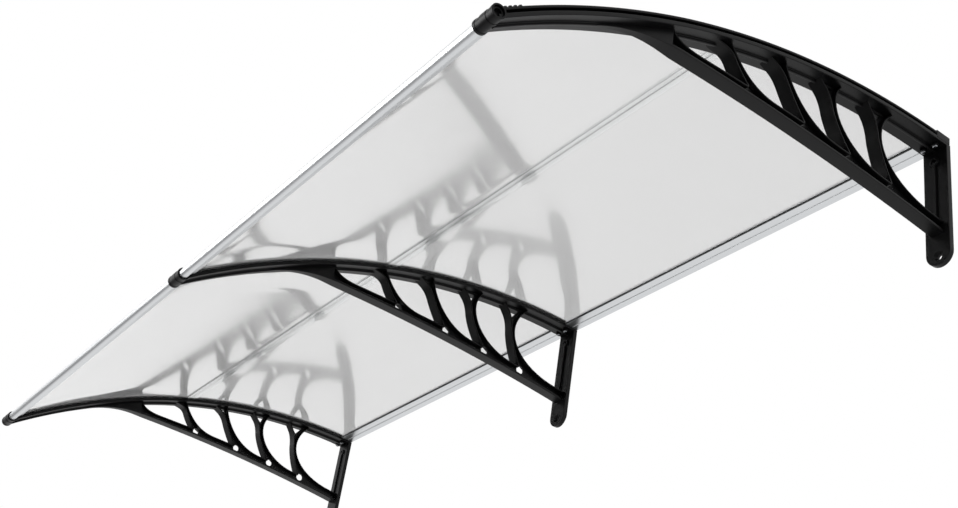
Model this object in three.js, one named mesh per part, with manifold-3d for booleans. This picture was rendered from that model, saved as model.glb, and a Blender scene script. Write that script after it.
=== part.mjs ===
// Door canopy: three moulded brackets carry two bays of clear sheet between a front and a rear bar.
// Millimetres, +Z up, +X along the wall, +Y towards the wall. The wall plane is Y = 0, and the origin is
// on the back of the middle bracket's leg, halfway up it.
import * as THREE from "three";
import { mergeVertices } from "three/addons/utils/BufferGeometryUtils.js";
import Module from "manifold-3d";

// Overall sizes
const BAY = 1000; // from bracket to bracket, centre to centre
const REACH = 890; // from the wall to the axis of the front bars
const ROOF_RADIUS = 1350; // curve of the underside of the sheets, seen from the side
const CREST = 85; // from the wall to the highest line of the roof
const FIT = 0.3; // clearance between pieces that touch

// Sheets and the strips that join them at half depth
const SHEET = 4;
const JOINT_REACH = 480; // from the wall to the middle of the joint strip
const JOINT_WIDTH = 28;
const JOINT_WALL = 2;
const SAG_SHARE = 0.5; // how much of its curve a sheet loses between the brackets
const SAG_STEPS = 10; // stretches along the sheet, the outer ones on each side still fully curved

// Bracket: flange under the sheets, spine between them, and the pierced panel below
const FLANGE_WIDTH = 48;
const FLANGE_FRONT = 40; // width at the collar, reached evenly from the split
const FLANGE = 7;
const SPINE_WIDTH = 8;
const SPINE_GAP = 0.8; // what sheets and rear bars leave free beside it
const RIB_WIDTH = 5;
const RIB_DEPTH = 4;
const PANEL_WIDTH = 26;
const FIN_WIDTH = 12; // the panel where its front end bends up into the rib
const FIN_START = 600; // from the wall to where that bend starts
const FIN_BEND = 662;
const FIN_END = 722;
const WEB = 7; // thin middle of the panel, between the walls of its windows
const RIM_WALL = 3;
const CHORD_WALL = 5; // plate along the lower chord's underside
const SPLIT = 580; // from the wall to where the lower chord leaves the roof's curve
const CHORD_DROP = 178; // lower chord's underside at the wall, below the crest
const CHORD_RISE = 39; // how far its underside climbs from the wall to the split
const CHORD_ROOT = 21; // depth of the lower chord at the wall
const CHORD_TIP = 13; // and at the split

// Wall leg
const LEG_THICKNESS = 10;
const LEG_HEIGHT = 227;
const LEG_RIB = 4; // how far the rib stands off the leg
const FOOT_HOLE = 17; // lower wall hole above the leg's end
const WALL_HOLE = 9;
const WALL_HOLE_SINK = 16; // wide end of the countersink
const BOSS_DROP = 34; // upper wall hole below the crest
const BOSS = 18;
const BOSS_LENGTH = 4;

// Struts of the panel, from front to back, as distances from the wall:
// tip is where the front edge meets the lower chord, joint where it forks, apex where the fork meets the
// flange; top, belly, knee and tail lead the back edge from the flange down to the lower chord
const STRUTS = [
  { tip: 446, bend: 471, joint: 480, apex: 510, top: 481, belly: 465, knee: 441, tail: 385, hole: 6 },
  { tip: 328, bend: 358, joint: 373, apex: 402, top: 369, belly: 359, knee: 320, tail: 250, hole: 7 },
  { tip: 228, bend: 268, joint: 273, apex: 297, top: 247, belly: 284, knee: 226, tail: 150, hole: 9 },
  { tip: 133, bend: 165, joint: 167, apex: 190, top: 128, belly: 186, knee: 145, tail: 30, hole: 10 },
];
const NOSE = { tip: 592, bend: 585, tail: 535 }; // front end of the first window
const BEND_HEIGHT = 0.38; // heights in a window, as shares of its clear height
const JOINT_HEIGHT = 0.76;
const FORK_HEIGHT = 0.82;
const BELLY_HEIGHT = 0.58;
const FORK_WALL = 6; // the fork's front branch, along the flange
const STRUT_WALL = 12; // the strut's main branch, along the flange
const HOLE_OFFSET = 12; // hole at a strut's foot, from its tip

// Front bar, its collar and its plugs
const COLLAR = 24;
const COLLAR_LENGTH = 46;
const COLLAR_WALL = 6; // partition in the middle of the collar
const BAR = 18;
const BAR_WALL = 2;
const JAW = 2; // lips that hold a sheet
const JAW_GRIP = 9; // how far they reach over it
const SPIGOT = 17; // what goes into the collar
const PLUG_SINK = 3; // how far a plug's face lies inside the collar
const PLUG_RECESS = 12;
const PLUG_RECESS_DEPTH = 5;

// Rear bar, the seal in front of its lower lip and the stops beside it
const REAR_DEPTH = 32;
const REAR_JAW = 2.4;
const REAR_SLOT = 16;
const REAR_BACK = 3;
const WALL_GAP = 1;
const SEAL_TONGUE = 0.8;
const SEAL_LIP = 2;
const STOP_RISE = 3; // how far a stop stands above the cover strip

// Cover strip over the sheets, and the screws
const STRIP = 4;
const STRIP_TEETH = 4;
const TOOTH = 2;
const TOOTH_PITCH = 9;
const STRIP_SCREWS = 4;
const SCREW = 4;
const SCREW_HEAD = 9;
const SCREW_HEAD_HEIGHT = 2.6;
const STRIP_SCREW_LENGTH = 14;
const BAR_SCREW_X = 12;
const BAR_SCREW_REACH = 24;
const BAR_SCREW_PAD = 12;
const BAR_SCREW_PAD_DEPTH = 5; // how far the pad stands below the flange

// Fineness of the curves
const ROOF_FACET = 27; // length of a flat stretch of the roof's curve
const CURVE_SEGMENTS = 9;
const ROUND_SEGMENTS = 20;
const SCREW_SEGMENTS = 10;
const FACET_MARGIN = 0.1; // share of a flat stretch too short to stand alone at an end
const CLEAR = 1; // how far a cut runs past what it cuts

const MATERIALS = {
  plastic: new THREE.MeshStandardMaterial({ color: 0x17181a, roughness: 0.5, metalness: 0 }),
  sheet: new THREE.MeshStandardMaterial({ color: 0xe8e9ea, roughness: 0.12, metalness: 0 }),
  aluminium: new THREE.MeshStandardMaterial({ color: 0xc9ccce, roughness: 0.35, metalness: 1 }),
  rubber: new THREE.MeshStandardMaterial({ color: 0x1b1b1c, roughness: 0.8, metalness: 0 }),
  steel: new THREE.MeshStandardMaterial({ color: 0xb8bbbd, roughness: 0.3, metalness: 1 }),
};

const wasm = await Module();
wasm.setup();

// Solids for joining and cutting
function solid(geometry) {
  const bare = geometry.index ? geometry.toNonIndexed() : geometry.clone();
  bare.deleteAttribute("normal");
  bare.deleteAttribute("uv");
  const merged = mergeVertices(bare, 1e-3);
  return new wasm.Manifold(
    new wasm.Mesh({
      numProp: 3,
      vertProperties: merged.attributes.position.array,
      triVerts: new Uint32Array(merged.index.array),
    }),
  );
}

function geometryOf(body) {
  const mesh = body.getMesh();
  const geometry = new THREE.BufferGeometry();
  geometry.setAttribute("position", new THREE.BufferAttribute(mesh.vertProperties, 3));
  geometry.setIndex(new THREE.BufferAttribute(mesh.triVerts, 1));
  geometry.computeVertexNormals();
  return geometry;
}

const join = (first, ...others) => others.reduce((sum, next) => sum.add(next), first);
const cut = (body, ...tools) => tools.reduce((rest, tool) => rest.subtract(tool), body);

// The roof's curve: an angle grows from the crest to the front, a height is measured outwards from the
// underside of the sheets
const angleAt = (reach, height = 0) => Math.asin((reach - CREST) / (ROOF_RADIUS + height));
const roofPoint = (angle, height) => [
  -CREST - (ROOF_RADIUS + height) * Math.sin(angle),
  (ROOF_RADIUS + height) * Math.cos(angle) - ROOF_RADIUS,
];
const roofHeight = (reach, height = 0) => roofPoint(angleAt(reach, height), height)[1];
const turn = (length) => length / ROOF_RADIUS;

// A side outline (Y, Z) drawn along X, centred on the bracket or standing between two places
const SIDE = new THREE.Matrix4().makeBasis(
  new THREE.Vector3(0, 1, 0),
  new THREE.Vector3(0, 0, 1),
  new THREE.Vector3(1, 0, 0),
);
function along(shape, from, to, options = {}) {
  const settings = { depth: to - from, bevelEnabled: false, curveSegments: CURVE_SEGMENTS, ...options };
  return new THREE.ExtrudeGeometry(shape, settings).translate(0, 0, from).applyMatrix4(SIDE);
}
const across = (shape, width) => along(shape, -width / 2, width / 2);

function outline(points) {
  return new THREE.Shape(points.map(([y, z]) => new THREE.Vector2(y, z)));
}

// What lies inside a plan outline (X, Y) that has the given half widths at distances from the wall
function trimmed(body, stations) {
  const right = stations.map(([reach, half]) => [half, -reach]);
  const left = stations.map(([reach, half]) => [-half, -reach]).reverse();
  const depth = 2 * ROOF_RADIUS;
  const column = new THREE.ExtrudeGeometry(outline([...left, ...right]), { depth, bevelEnabled: false });
  return body.intersect(solid(column.translate(0, 0, -depth / 2)));
}

const rectangle = (y0, y1, z0, z1) =>
  outline([
    [y0, z0],
    [y1, z0],
    [y1, z1],
    [y0, z1],
  ]);

// The angles at which pieces between two angles bend: all of them share the same flat stretches
function roofAngles(from, to) {
  const step = turn(ROOF_FACET);
  const first = Math.ceil(from / step + FACET_MARGIN);
  const last = Math.floor(to / step - FACET_MARGIN);
  const between = Array.from({ length: Math.max(0, last - first + 1) }, (_, i) => (first + i) * step);
  return [from, ...between, to];
}

// A band that follows the roof from one angle to another, between two heights
function roofBand(from, to, low, high) {
  const angles = roofAngles(from, to);
  const lower = angles.map((angle) => roofPoint(angle, low));
  const upper = angles.map((angle) => roofPoint(angle, high)).reverse();
  return outline([...upper, ...lower]);
}

// Round pieces whose axis runs along X, Y or Z
function roundX(diameter, from, to, y, z) {
  const geometry = new THREE.CylinderGeometry(diameter / 2, diameter / 2, to - from, ROUND_SEGMENTS);
  return geometry.rotateZ(Math.PI / 2).translate((from + to) / 2, y, z);
}
function roundY(front, back, from, to, x, z) {
  const geometry = new THREE.CylinderGeometry(back / 2, front / 2, to - from, ROUND_SEGMENTS);
  return geometry.translate(x, (from + to) / 2, z);
}
function roundZ(diameter, from, to, x, y) {
  const geometry = new THREE.CylinderGeometry(diameter / 2, diameter / 2, to - from, ROUND_SEGMENTS);
  return geometry.rotateX(Math.PI / 2).translate(x, y, (from + to) / 2);
}

// Places on the roof that several pieces share
const SHEET_FLOAT = FIT; // sheets lie this far above the flange
const SHEET_MIDDLE = SHEET_FLOAT + SHEET / 2;
const SHEET_TOP = SHEET_FLOAT + SHEET;
const FRONT_ANGLE = angleAt(REACH, SHEET_MIDDLE);
const FRONT_AXIS = roofPoint(FRONT_ANGLE, SHEET_MIDDLE);
const COLLAR_EDGE = FRONT_ANGLE - turn(COLLAR / 2 + FIT);
const JOINT_ANGLE = angleAt(JOINT_REACH);
const WALL_ANGLE = angleAt(0);
const REAR_ANGLE = angleAt(WALL_GAP + REAR_DEPTH / 2);
const REAR_EDGE = angleAt(WALL_GAP + REAR_DEPTH + FIT);
const REAR_FLOOR = SHEET_FLOAT - SEAL_TONGUE - 2 * FIT - REAR_JAW; // underside of the rear bar
const REAR_ROOF = SHEET_TOP + FIT + REAR_JAW;
const SEAT = REAR_FLOOR - FIT; // where the flange is sunk to carry the rear bar
const STRIP_FLOOR = SHEET_TOP + FIT;
const STRIP_ROOF = STRIP_FLOOR + STRIP;
const STRIP_START = angleAt(WALL_GAP + REAR_DEPTH + 4 * FIT);
const STRIP_END = FRONT_ANGLE - turn(COLLAR / 2 + 2 * FIT);
const screwAngle = (i) => STRIP_START + ((STRIP_END - STRIP_START) * (i + 0.5)) / STRIP_SCREWS;
const PAD_FLOOR = roofHeight(BAR_SCREW_REACH, -FLANGE) - BAR_SCREW_PAD_DEPTH;

const FLANGE_PLAN = [
  [0, FLANGE_WIDTH / 2],
  [SPLIT, FLANGE_WIDTH / 2],
  [REACH, FLANGE_FRONT / 2],
];

// Lower chord and the clear height above it
const SPLIT_HEIGHT = CHORD_RISE - CHORD_DROP;
const chordBottom = (reach) => SPLIT_HEIGHT - CHORD_RISE * (1 - reach / SPLIT) ** 2;
const chordTop = (reach) => chordBottom(reach) + CHORD_TIP + (CHORD_ROOT - CHORD_TIP) * (1 - reach / SPLIT);
const flangeUnder = (reach) => roofHeight(reach, -FLANGE);
function inWindow(reach, share) {
  return [-reach, chordTop(reach) + share * (flangeUnder(reach) - chordTop(reach))];
}

const OVER = 1.1; // a window is cut this far up, into the flange that closes it
function frontEdge(shape, strut) {
  shape.lineTo(...inWindow(strut.tip, 0));
  shape.quadraticCurveTo(...inWindow(strut.bend, BEND_HEIGHT), ...inWindow(strut.joint, JOINT_HEIGHT));
  shape.lineTo(...inWindow(strut.apex, 1));
  shape.lineTo(...inWindow(strut.apex, OVER));
}

function noseWindow() {
  const shape = new THREE.Shape();
  shape.moveTo(...inWindow(NOSE.tip, 1));
  shape.quadraticCurveTo(...inWindow(NOSE.bend, 0), ...inWindow(NOSE.tail, 0));
  frontEdge(shape, STRUTS[0]);
  return shape;
}

function strutWindow(strut, next) {
  const shape = new THREE.Shape();
  shape.moveTo(...inWindow(strut.top, OVER));
  shape.lineTo(...inWindow(strut.top, 1));
  shape.bezierCurveTo(
    ...inWindow(strut.belly, BELLY_HEIGHT),
    ...inWindow(strut.knee, 0),
    ...inWindow(strut.tail, 0),
  );
  if (next) {
    frontEdge(shape, next);
  } else {
    shape.lineTo(...inWindow(LEG_THICKNESS, 0));
    shape.lineTo(...inWindow(LEG_THICKNESS, OVER));
  }
  return shape;
}

// The small gap of a fork, between its front branch and the strut
function forkGap(strut) {
  return outline([
    inWindow(strut.joint - FORK_WALL, FORK_HEIGHT),
    inWindow(strut.top + STRUT_WALL, OVER),
    inWindow(strut.apex - FORK_WALL, OVER),
  ]);
}

function panel() {
  const side = new THREE.Shape();
  const top = roofHeight(0, -FLANGE / 2);
  side.moveTo(-FIT, top);
  side.lineTo(-FIT, chordBottom(0));
  side.quadraticCurveTo(-SPLIT / 2, SPLIT_HEIGHT, -SPLIT, SPLIT_HEIGHT);
  side.lineTo(-FIN_START, SPLIT_HEIGHT);
  side.quadraticCurveTo(-FIN_BEND, SPLIT_HEIGHT, -FIN_END, roofHeight(FIN_END, -FLANGE - RIB_DEPTH));
  const from = angleAt(FIN_END, -FLANGE / 2);
  for (const angle of roofAngles(WALL_ANGLE, from).slice(1).reverse()) {
    side.lineTo(...roofPoint(angle, -FLANGE / 2));
  }
  const blank = trimmed(solid(across(side, PANEL_WIDTH)), [
    [0, PANEL_WIDTH / 2],
    [SPLIT, PANEL_WIDTH / 2],
    [FIN_BEND, FIN_WIDTH / 2],
    [FIN_END, RIB_WIDTH / 2],
  ]);
  const windows = [noseWindow(), ...STRUTS.map((strut, i) => strutWindow(strut, STRUTS[i + 1]))];
  const forks = STRUTS.slice(1).map(forkGap);
  const width = PANEL_WIDTH + 2 * CLEAR;
  const walls = windows.map((shape) => solid(across(grown(shape, RIM_WALL), width)));
  const web = rectangle(-REACH, 0, -CHORD_DROP - CLEAR, CLEAR);
  const fin = rectangle(-REACH, -NOSE.tip - RIM_WALL, -CHORD_DROP - REACH, CLEAR);
  const kept = join(solid(across(web, WEB)), solid(across(fin, width)), solid(across(chordPlate(), width)), ...walls);
  const cuts = [...windows, ...forks].map((shape) => solid(across(shape, width)));
  return cut(blank.intersect(kept), ...cuts, ...STRUTS.map(footHole));
}

// An outline moved outwards all round, its corners cut short
function grown(shape, distance) {
  const points = shape.getPoints(CURVE_SEGMENTS).filter((p, i, all) => i === 0 || p.distanceTo(all[i - 1]) > FIT);
  const way = THREE.ShapeUtils.area(points) > 0 ? distance : -distance;
  const side = (a, b) => new THREE.Vector2(b.y - a.y, a.x - b.x).normalize();
  return new THREE.Shape(
    points.map((p, i) => {
      const before = side(points.at(i - 1), p);
      const after = side(p, points[(i + 1) % points.length]);
      const out = before.clone().add(after).divideScalar(Math.max(1, 1 + before.dot(after)));
      return p.clone().addScaledVector(out, way);
    }),
  );
}

// The plate along the lower chord's underside
function chordPlate() {
  const reaches = Array.from({ length: CURVE_SEGMENTS + 1 }, (_, i) => (FIN_START * i) / CURVE_SEGMENTS);
  const lower = reaches.map((reach) => [-reach, chordBottom(Math.min(reach, SPLIT)) - CLEAR]);
  const upper = reaches.map((reach) => [-reach, chordBottom(Math.min(reach, SPLIT)) + CHORD_WALL]);
  return outline([...lower, ...upper.reverse()]);
}

// A hole at a strut's foot, through the web
function footHole(strut) {
  const y = -strut.tip + HOLE_OFFSET;
  const z = chordTop(-y) + CHORD_TIP / 4;
  const reach = PANEL_WIDTH / 2 + CLEAR;
  return solid(roundX(2 * strut.hole, -reach, reach, y, z));
}

function leg() {
  const top = roofHeight(0, SEAT);
  const radius = FLANGE_WIDTH / 2;
  const foot = top - LEG_HEIGHT + radius;
  const face = new THREE.Shape();
  face.moveTo(radius, top);
  face.lineTo(-radius, top);
  face.lineTo(-radius, foot);
  face.absarc(0, foot, radius, Math.PI, 2 * Math.PI, false);
  const settings = { depth: LEG_THICKNESS, bevelEnabled: false, curveSegments: ROUND_SEGMENTS };
  const plate = new THREE.ExtrudeGeometry(face, settings).rotateX(Math.PI / 2);
  const core = -LEG_THICKNESS / 2;
  const ribEnd = chordBottom(0) + CHORD_TIP / 2;
  const rib = rectangle(-LEG_THICKNESS - LEG_RIB, core, ribEnd, -BOSS_DROP);
  const boss = roundY(BOSS, BOSS, -LEG_THICKNESS - BOSS_LENGTH, core, 0, -BOSS_DROP);
  const body = join(solid(plate), solid(across(rib, RIB_WIDTH)), solid(boss));
  const front = -LEG_THICKNESS - BOSS_LENGTH - CLEAR;
  const hole = top - LEG_HEIGHT + FOOT_HOLE;
  return cut(
    body,
    solid(roundY(WALL_HOLE, WALL_HOLE, front, CLEAR, 0, -BOSS_DROP)),
    solid(roundY(WALL_HOLE, WALL_HOLE, front, CLEAR, 0, hole)),
    solid(roundY(WALL_HOLE_SINK, WALL_HOLE, -LEG_THICKNESS - FIT, core, 0, hole)),
  );
}

// A round piece on the front axis, turned as the front bars are
function onFrontAxis(diameter, from, to) {
  return roundX(diameter, from, to, 0, 0).rotateX(FRONT_ANGLE).translate(0, ...FRONT_AXIS);
}

// One moulding: flange, spine, rib, panel, leg and front collar
function bracket() {
  const band = solid(across(roofBand(WALL_ANGLE, FRONT_ANGLE, -FLANGE, 0), FLANGE_WIDTH));
  const flange = trimmed(band, FLANGE_PLAN);
  const spineStart = angleAt(WALL_GAP);
  const spine = solid(across(roofBand(spineStart, FRONT_ANGLE, -FLANGE / 2, SHEET_TOP), SPINE_WIDTH));
  const rib = solid(across(roofBand(WALL_ANGLE, FRONT_ANGLE, -FLANGE - RIB_DEPTH, -FLANGE / 2), RIB_WIDTH));
  const collar = solid(onFrontAxis(COLLAR, -COLLAR_LENGTH / 2, COLLAR_LENGTH / 2));
  const padTop = roofHeight(BAR_SCREW_REACH, -FLANGE / 2);
  const pads = [-1, 1].map((side) =>
    solid(roundZ(BAR_SCREW_PAD, PAD_FLOOR, padTop, side * BAR_SCREW_X, -BAR_SCREW_REACH)),
  );
  const whole = join(flange, spine, rib, collar, ...pads, panel(), leg());

  const half = FLANGE_WIDTH / 2 + CLEAR;
  const seat = roofBand(WALL_ANGLE - turn(CLEAR), REAR_EDGE, SEAT, STRIP_ROOF);
  const seats = [
    solid(along(seat, SPINE_WIDTH / 2, half)),
    solid(along(seat, -half, -SPINE_WIDTH / 2)),
  ];
  const bore = BAR + 2 * FIT;
  const bores = [
    solid(onFrontAxis(bore, COLLAR_WALL / 2, COLLAR_LENGTH)),
    solid(onFrontAxis(bore, -COLLAR_LENGTH, -COLLAR_WALL / 2)),
  ];
  const pilots = [-1, 1].map((side) =>
    solid(roundZ(SCREW + 2 * FIT, PAD_FLOOR - CLEAR, STRIP_ROOF, side * BAR_SCREW_X, -BAR_SCREW_REACH)),
  );
  return cut(whole, ...seats, ...bores, ...pilots, ...stripPilots());
}

// A round tool or piece that stands on the roof at an angle, its axis pointing outwards
function onRoof(geometry, angle) {
  const [y, z] = roofPoint(angle, 0);
  return geometry.rotateX(angle).translate(0, y, z);
}
function stripPilots() {
  const depth = STRIP_ROOF - STRIP_SCREW_LENGTH - FIT;
  return Array.from({ length: STRIP_SCREWS }, (_, i) =>
    solid(onRoof(roundZ(SCREW + 2 * FIT, depth, STRIP_ROOF + CLEAR, 0, 0), screwAngle(i))),
  );
}

function coverStrip() {
  const band = solid(across(roofBand(STRIP_START, STRIP_END, STRIP_FLOOR, STRIP_ROOF), FLANGE_WIDTH));
  const teeth = Array.from({ length: STRIP_TEETH }, (_, i) => {
    const middle = STRIP_END - turn(TOOTH_PITCH * (i + 0.5));
    const half = turn(TOOTH_PITCH / 4);
    const tooth = roofBand(middle - half, middle + half, STRIP_ROOF - STRIP / 2, STRIP_ROOF + TOOTH);
    return solid(across(tooth, FLANGE_WIDTH));
  });
  return cut(trimmed(join(band, ...teeth), FLANGE_PLAN), ...stripPilots());
}

// A pan-head screw along Z: the seat of the head at the origin, the shank going down
function screw(length) {
  const crown = SCREW_HEAD / 3;
  const profile = [
    [0, -length],
    [SCREW / 2, -length],
    [SCREW / 2, 0],
    [SCREW_HEAD / 2, 0],
    [SCREW_HEAD / 2, SCREW_HEAD_HEIGHT / 2],
    [crown, SCREW_HEAD_HEIGHT],
    [0, SCREW_HEAD_HEIGHT],
  ].map(([r, z]) => new THREE.Vector2(r, z));
  return new THREE.LatheGeometry(profile, SCREW_SEGMENTS).rotateX(Math.PI / 2);
}

// A half sheet between two angles. Away from the brackets it straightens a little, so that it sags under
// the roof's curve, and its ends keep their place in the strips and bars
function sheet(from, to) {
  const edge = SPINE_WIDTH / 2 + SPINE_GAP;
  const band = roofBand(from, to, SHEET_FLOAT, SHEET_TOP);
  const geometry = along(band, edge, BAY - edge, { steps: SAG_STEPS });
  const free = (to - from) / 2 - turn(JOINT_WIDTH);
  const rise = ROOF_RADIUS * (1 - Math.cos(free));
  const place = geometry.attributes.position;
  for (let i = 0; i < place.count; i++) {
    const stretch = Math.min(place.getX(i) - edge, BAY - edge - place.getX(i)) / (BAY - 2 * edge);
    const loose = THREE.MathUtils.smoothstep(stretch, 1 / SAG_STEPS, 3 / SAG_STEPS);
    const angle = Math.atan2(-CREST - place.getY(i), ROOF_RADIUS + place.getZ(i));
    const off = Math.min(1, Math.abs(angle - (from + to) / 2) / free);
    const sag = SAG_SHARE * rise * loose * (1 - off ** 2) ** 2;
    place.setY(i, place.getY(i) + sag * Math.sin(angle));
    place.setZ(i, place.getZ(i) - sag * Math.cos(angle));
  }
  return geometry;
}

// Joint strip: an H whose two slots take the sheets
function jointStrip() {
  const low = SHEET_FLOAT - FIT;
  const high = SHEET_TOP + FIT;
  const half = JOINT_WIDTH / 2;
  const web = JOINT_WALL / 2;
  const section = outline([
    [-half, low - JOINT_WALL],
    [half, low - JOINT_WALL],
    [half, low],
    [web, low],
    [web, high],
    [half, high],
    [half, high + JOINT_WALL],
    [-half, high + JOINT_WALL],
    [-half, high],
    [-web, high],
    [-web, low],
    [-half, low],
  ]);
  const end = FLANGE_WIDTH / 2 + 2 * FIT;
  return along(section, end, BAY - end);
}

// Front bar: a tube with two lips behind it. Only the tube goes into the collars
function frontBar() {
  const end = COLLAR_LENGTH / 2;
  const tube = roundX(BAR, end - SPIGOT, BAY - end + SPIGOT, 0, 0);
  const bore = roundX(BAR - 2 * BAR_WALL, 0, BAY, 0, 0);
  const slot = SHEET / 2 + FIT;
  const reach = COLLAR / 2 + 2 * FIT + JAW_GRIP;
  const lips = [
    rectangle(BAR / 2 - BAR_WALL, reach, slot, slot + JAW),
    rectangle(BAR / 2 - BAR_WALL, reach, -slot - JAW, -slot),
  ];
  const jaws = lips.map((lip) => solid(along(lip, end + FIT, BAY - end - FIT)));
  return cut(join(solid(tube), ...jaws), solid(bore));
}

// Rear bar: a slot for the sheet in front, a hollow chamber behind it, a groove under the wall between
function rearBar() {
  const front = -REAR_DEPTH / 2;
  const back = REAR_DEPTH / 2;
  const slotFloor = REAR_FLOOR + REAR_JAW;
  const slotRoof = REAR_ROOF - REAR_JAW;
  const slotEnd = front + REAR_SLOT;
  const groove = REAR_JAW / 2;
  const section = outline([
    [front, REAR_FLOOR],
    [slotEnd - groove, REAR_FLOOR],
    [slotEnd, REAR_FLOOR + groove],
    [slotEnd + groove, REAR_FLOOR],
    [back, REAR_FLOOR],
    [back, REAR_ROOF],
    [front, REAR_ROOF],
    [front, slotRoof],
    [slotEnd, slotRoof],
    [slotEnd, slotFloor],
    [front, slotFloor],
  ]);
  section.holes.push(rectangle(slotEnd + REAR_JAW, back - REAR_BACK, slotFloor + FIT, slotRoof - FIT));
  const end = SPINE_WIDTH / 2 + SPINE_GAP;
  const bar = solid(along(section, end, BAY - end));
  const offset = BAR_SCREW_REACH - WALL_GAP - REAR_DEPTH / 2;
  const holes = [BAR_SCREW_X, BAY - BAR_SCREW_X].map((x) =>
    solid(roundZ(SCREW + 2 * FIT, REAR_FLOOR - CLEAR, slotFloor + FIT, x, -offset)),
  );
  return cut(bar, ...holes);
}

// Seal: a lip in front of the rear bar's lower jaw, and a tongue between that jaw and the sheet
function seal() {
  const front = -REAR_DEPTH / 2 - FIT;
  const top = SHEET_FLOAT - FIT;
  const section = outline([
    [front - SEAL_LIP, REAR_FLOOR],
    [front, REAR_FLOOR],
    [front, top - SEAL_TONGUE],
    [front + REAR_SLOT / 2, top - SEAL_TONGUE],
    [front + REAR_SLOT / 2, top],
    [front - SEAL_LIP, top],
  ]);
  const end = FLANGE_WIDTH / 2 + 2 * FIT;
  return along(section, end, BAY - end);
}

// Stop: fills the rear bar's place on the outer side of an end bracket
function stop(side) {
  const front = -REAR_DEPTH / 2;
  const back = REAR_DEPTH / 2;
  const block = rectangle(front, back, REAR_FLOOR, STRIP_ROOF + STOP_RISE);
  const near = SPINE_WIDTH / 2 + SPINE_GAP;
  const far = FLANGE_WIDTH / 2;
  const body = side > 0 ? along(block, near, far) : along(block, -far, -near);
  const offset = BAR_SCREW_REACH - WALL_GAP - REAR_DEPTH / 2;
  const depth = REAR_FLOOR + STRIP_SCREW_LENGTH;
  const hole = roundZ(SCREW + 2 * FIT, REAR_FLOOR - CLEAR, depth, side * BAR_SCREW_X, -offset);
  return cut(solid(body), solid(hole));
}

// Plug: closes the outer end of an end bracket's collar, along +X from the collar's face
function plug() {
  const stem = roundX(BAR, -SPIGOT, -PLUG_SINK, 0, 0);
  const recess = roundX(PLUG_RECESS, -PLUG_SINK - PLUG_RECESS_DEPTH, CLEAR, 0, 0);
  return cut(solid(stem), solid(recess));
}

// Assembly
const canopy = new THREE.Group();
const frame = new THREE.Group();
frame.position.z = LEG_HEIGHT / 2 - roofHeight(0, SEAT);
canopy.add(frame);

function place(name, geometry, material, [x, y, z] = [0, 0, 0], angle = 0) {
  const mesh = new THREE.Mesh(geometry, material);
  mesh.name = name;
  mesh.position.set(x, y, z);
  mesh.rotation.x = angle;
  frame.add(mesh);
}
const onRoofAt = (x, angle) => [x, ...roofPoint(angle, 0)];

const bracketShape = geometryOf(bracket());
const stripShape = geometryOf(coverStrip());
const plugShape = geometryOf(plug());
const stripScrew = screw(STRIP_SCREW_LENGTH);
const barScrew = screw(roofHeight(BAR_SCREW_REACH, REAR_FLOOR + REAR_JAW) - PAD_FLOOR).rotateX(Math.PI);

for (const [side, name] of [[-1, "left"], [0, "middle"], [1, "right"]]) {
  const x = side * BAY;
  place(`bracket_${name}`, bracketShape, MATERIALS.plastic, [x, 0, 0]);
  place(`cover_strip_${name}`, stripShape, MATERIALS.plastic, [x, 0, 0]);
  for (let i = 0; i < STRIP_SCREWS; i++) {
    const angle = screwAngle(i);
    const [y, z] = roofPoint(angle, STRIP_ROOF + FIT);
    place(`strip_screw_${name}_${i + 1}`, stripScrew, MATERIALS.steel, [x, y, z], angle);
  }
  for (const [hand, label] of [[-1, "a"], [1, "b"]]) {
    const seat = [x + hand * BAR_SCREW_X, -BAR_SCREW_REACH, PAD_FLOOR - FIT];
    place(`bar_screw_${name}_${label}`, barScrew, MATERIALS.steel, seat);
  }
  if (side !== 0) {
    const face = [x + (side * COLLAR_LENGTH) / 2, ...FRONT_AXIS];
    const plugMesh = side > 0 ? plugShape : plugShape.clone().rotateY(Math.PI);
    place(`collar_plug_${name}`, plugMesh, MATERIALS.plastic, face, FRONT_ANGLE);
    const block = geometryOf(stop(side));
    place(`rear_stop_${name}`, block, MATERIALS.plastic, onRoofAt(x, REAR_ANGLE), REAR_ANGLE);
  }
}

const joint = turn(JOINT_WALL / 2 + FIT);
const rearEdge = angleAt(WALL_GAP + REAR_DEPTH - REAR_SLOT + 2 * FIT);
const rearSheet = sheet(rearEdge, JOINT_ANGLE - joint);
const frontSheet = sheet(JOINT_ANGLE + joint, COLLAR_EDGE);
const stripSection = jointStrip();
const frontBarShape = geometryOf(frontBar());
const rearBarShape = geometryOf(rearBar());
const sealShape = seal();

for (const [start, name] of [[-BAY, "left"], [0, "right"]]) {
  place(`sheet_rear_${name}`, rearSheet, MATERIALS.sheet, [start, 0, 0]);
  place(`sheet_front_${name}`, frontSheet, MATERIALS.sheet, [start, 0, 0]);
  place(`joint_strip_${name}`, stripSection, MATERIALS.sheet, onRoofAt(start, JOINT_ANGLE), JOINT_ANGLE);
  place(`front_bar_${name}`, frontBarShape, MATERIALS.aluminium, [start, ...FRONT_AXIS], FRONT_ANGLE);
  place(`rear_bar_${name}`, rearBarShape, MATERIALS.aluminium, onRoofAt(start, REAR_ANGLE), REAR_ANGLE);
  place(`rear_seal_${name}`, sealShape, MATERIALS.rubber, onRoofAt(start, REAR_ANGLE), REAR_ANGLE);
}

export default canopy;
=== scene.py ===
"""Door canopy: moulded brackets, clear sheets and extruded bars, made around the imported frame."""
import functools
import math

import bmesh
import bpy
from bpy.props import FloatProperty, FloatVectorProperty, PointerProperty
from mathutils import Matrix, Vector


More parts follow.
